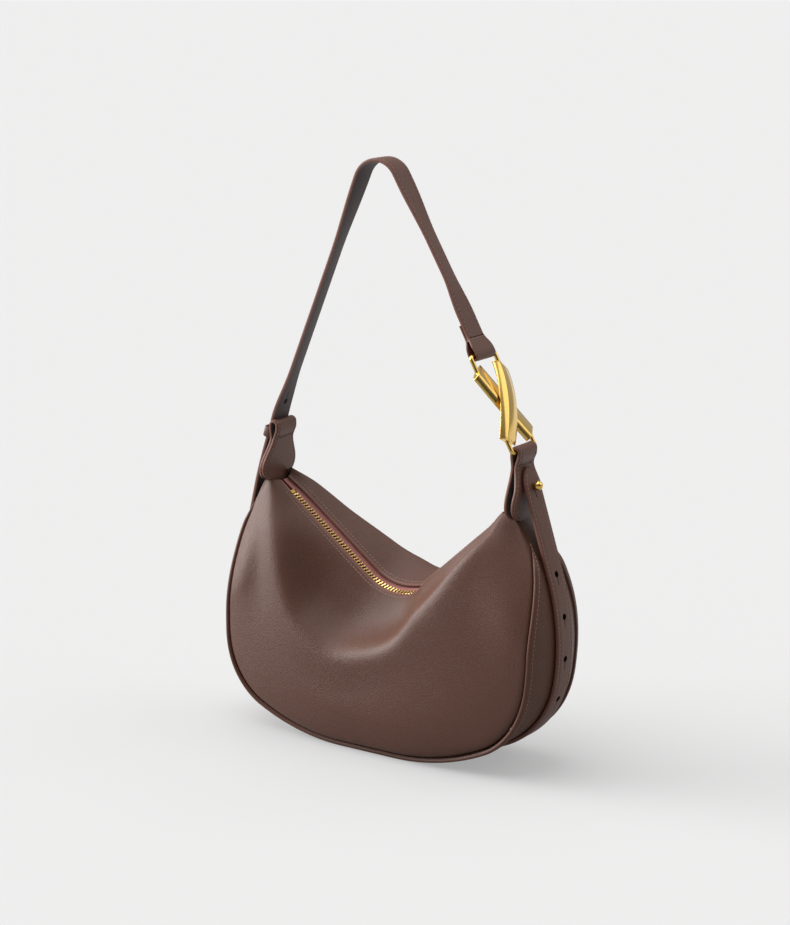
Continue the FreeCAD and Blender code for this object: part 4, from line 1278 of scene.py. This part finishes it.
class BAG_OT_buckle(bpy.types.Operator):
    """Make the two crossed bars, and finish the wire loops, stud and zip slider in gold"""
    bl_idname = "half_moon_bag.buckle"
    bl_label = "Buckle and metal"

    def execute(self, context):
        for name, side, bow in (("front", 1, 4.4 * MM), ("back", -1, -0.2 * MM)):
            bar = self.make_bar("buckle_" + name + "_facets", side, bow)
            settle(bar, "buckle", "gold_metal", "buckle_" + name + "_bar")
        for node in ("buckle_upper_loop", "buckle_lower_loop", "stud", "stud_screw", "zip_slider",
                     "zip_pull", "zip_top_stops", "zip_bottom_stop"):
            mesh = frame["nodes"][node].data
            mesh.materials.clear()
            mesh.materials.append(finishes["gold"])
        return {"FINISHED"}

    @staticmethod
    def make_bar(name, side, bow):
        """Bar with two facets and a soft leaning ridge, its square ends set back inside a thin rim."""
        first = 11.5 * MM
        last = BUCKLE_SPAN - 9 * MM
        ridge = 3.4 * MM

        def centre(share):
            y = side * LOOP_HALF * (1 - 2 * share)
            out = 4 * bow * share * (1 - share)
            return UPPER_LOOP + RUN_WAY * (first + (last - first) * share) + RUN_OUT * out + SIDE * y

        facet = [(-1.0, 0.0), (-0.96, 0.14), (-0.5, 0.62), (-0.06, 0.98), (0.0, 1.0)]
        both = facet + [(-a, b) for a, b in facet[-2::-1]]
        lean = 0.4
        top = [(a + lean * (1 - a * a), b) for a, b in both]
        under = [(0.92, 0.3), (0.6, 0.74), (0.0, 1.0), (-0.6, 0.74), (-0.92, 0.3)]
        cap = [(0.70, 0.0), (0.93, 0.05), (0.99, 0.35), (0.99, 1.0), (0.92, 1.15), (0.92, 1.5),
               (1.0, 1.65)]
        stations = [(0.0, scale, shift) for scale, shift in cap]
        stations += [(share, 1.0, 0.0) for share in np.linspace(0.05, 0.95, 37)]
        stations += [(1.0, scale, -shift) for scale, shift in cap[::-1]]
        step = 0.01
        rings = []
        for share, scale, shift in stations:
            ahead = centre(share + step) - centre(share - step)
            ahead = ahead / np.linalg.norm(ahead)
            across = np.cross(ahead, RUN_OUT)
            across /= np.linalg.norm(across)
            out = np.cross(across, ahead)
            midway = math.sin(math.pi * share)
            half = (9.0 + 0.4 * midway) * MM * scale
            depth = 0.68 - 0.43 * midway
            section = top + [(a, -b * depth) for a, b in under]
            rise = ridge * scale
            middle = centre(share) + ahead * shift * MM
            rings.append([middle + across * a * half + out * b * rise for a, b in section])
        return tube_object(name, np.array(rings), [finishes["gold"]], [0] * len(section), sharp=35)


class BAG_OT_stage(bpy.types.Operator):
    """Make the pale floor, soft light and the camera"""
    bl_idname = "half_moon_bag.stage"
    bl_label = "Stage"

    def execute(self, context):
        self.make_floor()
        self.make_light()
        self.make_camera(context.scene)
        context.scene.view_settings.view_transform = "Standard"
        return {"FINISHED"}

    @staticmethod
    def make_floor():
        """Pale floor that shows brighter than it lights, and is mirrored in full only behind the bag."""
        reach = 60.0
        lit_share = 0.42
        glow = 0.42
        corners = [(-reach, -reach, 0), (reach, -reach, 0), (reach, reach, 0), (-reach, reach, 0)]
        material, wiring, shader = new_material("Pale floor")
        lit = [lit_share * value for value in finish().floor]
        shader.inputs["Base Color"].default_value = (*lit, 1)
        shader.inputs["Roughness"].default_value = 0.9
        shader.inputs["Specular IOR Level"].default_value = 0.0
        shader.inputs["Emission Strength"].default_value = glow
        path = wiring.nodes.new("ShaderNodeLightPath").outputs
        place = wiring.nodes.new("ShaderNodeSeparateXYZ")
        wiring.feed(place.inputs[0], wiring.place())
        across = wiring.maths("MULTIPLY_ADD", place.outputs["X"], -0.7, place.outputs["Y"])
        behind = wiring.maths("MULTIPLY_ADD", across, 4.0, 0.4, clamp=True)
        mirrored = wiring.maths("MAXIMUM", path["Is Glossy Ray"], path["Is Transmission Ray"])
        seen = wiring.maths("MAXIMUM", path["Is Camera Ray"], wiring.maths("MULTIPLY", mirrored, behind))
        pale = (*finish().floor, 1)
        wiring.feed(shader.inputs["Emission Color"], wiring.mixed(seen, (0, 0, 0, 1), pale))
        mesh = bpy.data.meshes.new("floor")
        mesh.from_pydata(corners, [], [(0, 1, 2, 3)])
        mesh.materials.append(material)
        floor = bpy.data.objects.new("floor", mesh)
        bpy.context.collection.objects.link(floor)

    @staticmethod
    def make_light():
        """Three soft suns, and a sky that is bright behind the bag on the left."""
        for name, strength, spread, toward in (
            ("left_sun", 4.2, 48, (0.90, 0.36, -0.26)),
            ("right_sun", 0.7, 55, (-0.62, -0.45, -0.62)),
            ("top_sun", 1.75, 60, (0.22, 0.16, -0.96)),
        ):
            lamp = bpy.data.lights.new(name, "SUN")
            lamp.energy = strength
            lamp.angle = math.radians(spread)
            obj = bpy.data.objects.new(name, lamp)
            obj.rotation_euler = Vector(toward).to_track_quat("-Z", "Y").to_euler()
            bpy.context.collection.objects.link(obj)
        world = bpy.data.worlds.new("studio")
        world.use_nodes = True
        bpy.context.scene.world = world
        wiring = Wiring(world.node_tree)
        back = wiring.nodes["Background"]
        back.inputs["Strength"].default_value = 0.45
        towards_bright = wiring.nodes.new("ShaderNodeVectorMath")
        towards_bright.operation = "DOT_PRODUCT"
        towards_bright.inputs[1].default_value = (-0.50, 0.45, 0.74)
        wiring.feed(towards_bright.inputs[0], wiring.place("Generated"))
        ramp = wiring.nodes.new("ShaderNodeValToRGB")
        dim, bright = ramp.color_ramp.elements
        dim.position, dim.color = 0.25, (0.08, 0.08, 0.085, 1)
        bright.position, bright.color = 0.95, (1.25, 1.24, 1.22, 1)
        wiring.feed(ramp.inputs[0], wiring.maths("MULTIPLY_ADD", towards_bright.outputs["Value"], 0.5, 0.5))
        wiring.feed(back.inputs["Color"], ramp.outputs[0])

    @staticmethod
    def make_camera(scene):
        """Camera that stands where the photograph was taken from."""
        view = scene.bag_camera
        lens = bpy.data.cameras.new("photo_camera")
        lens.sensor_fit = "VERTICAL"
        lens.sensor_height = 24.0
        lens.lens = view.focal_pixels / view.frame_height * lens.sensor_height
        camera = bpy.data.objects.new("photo_camera", lens)
        flat = math.cos(view.elevation)
        back = Vector((math.sin(view.azimuth) * flat, -math.cos(view.azimuth) * flat,
                       math.sin(view.elevation)))
        camera.location = Vector(view.target) + back * view.distance
        camera.rotation_euler = (-back).to_track_quat("-Z", "Y").to_euler()
        bpy.context.collection.objects.link(camera)
        scene.camera = camera


class BAG_PT_panel(bpy.types.Panel):
    """Lists the pieces of the bag"""
    bl_idname = "BAG_PT_panel"
    bl_label = "Half Moon Bag"
    bl_space_type = "VIEW_3D"
    bl_region_type = "UI"
    bl_category = "Half Moon Bag"

    def draw(self, context):
        for group in (context.scene.bag_shape, context.scene.bag_finish, context.scene.bag_camera):
            box = self.layout.box()
            for name in group.bl_rna.properties.keys():
                if name not in ("rna_type", "name"):
                    box.prop(group, name)
        for piece in pieces:
            self.layout.operator(piece.bl_idname)


pieces = (BAG_OT_body, BAG_OT_zip, BAG_OT_belt, BAG_OT_strap, BAG_OT_tabs, BAG_OT_buckle, BAG_OT_stage)
groups = {"bag_shape": BagShape, "bag_finish": BagFinish, "bag_camera": BagCamera}


def register():
    for kind in tuple(groups.values()) + pieces + (BAG_PT_panel,):
        bpy.utils.register_class(kind)
    for name, kind in groups.items():
        setattr(bpy.types.Scene, name, bpy.props.PointerProperty(type=kind))


def unregister():
    for name in groups:
        delattr(bpy.types.Scene, name)
    for kind in (BAG_PT_panel,) + pieces[::-1] + tuple(groups.values()):
        bpy.utils.unregister_class(kind)


def main():
    register()
    make_finishes()
    bpy.ops.half_moon_bag.body()
    bpy.ops.half_moon_bag.zip()
    bpy.ops.half_moon_bag.belt()
    bpy.ops.half_moon_bag.strap()
    bpy.ops.half_moon_bag.tabs()
    bpy.ops.half_moon_bag.buckle()
    bpy.ops.half_moon_bag.stage()


if __name__ == "__main__":
    main()
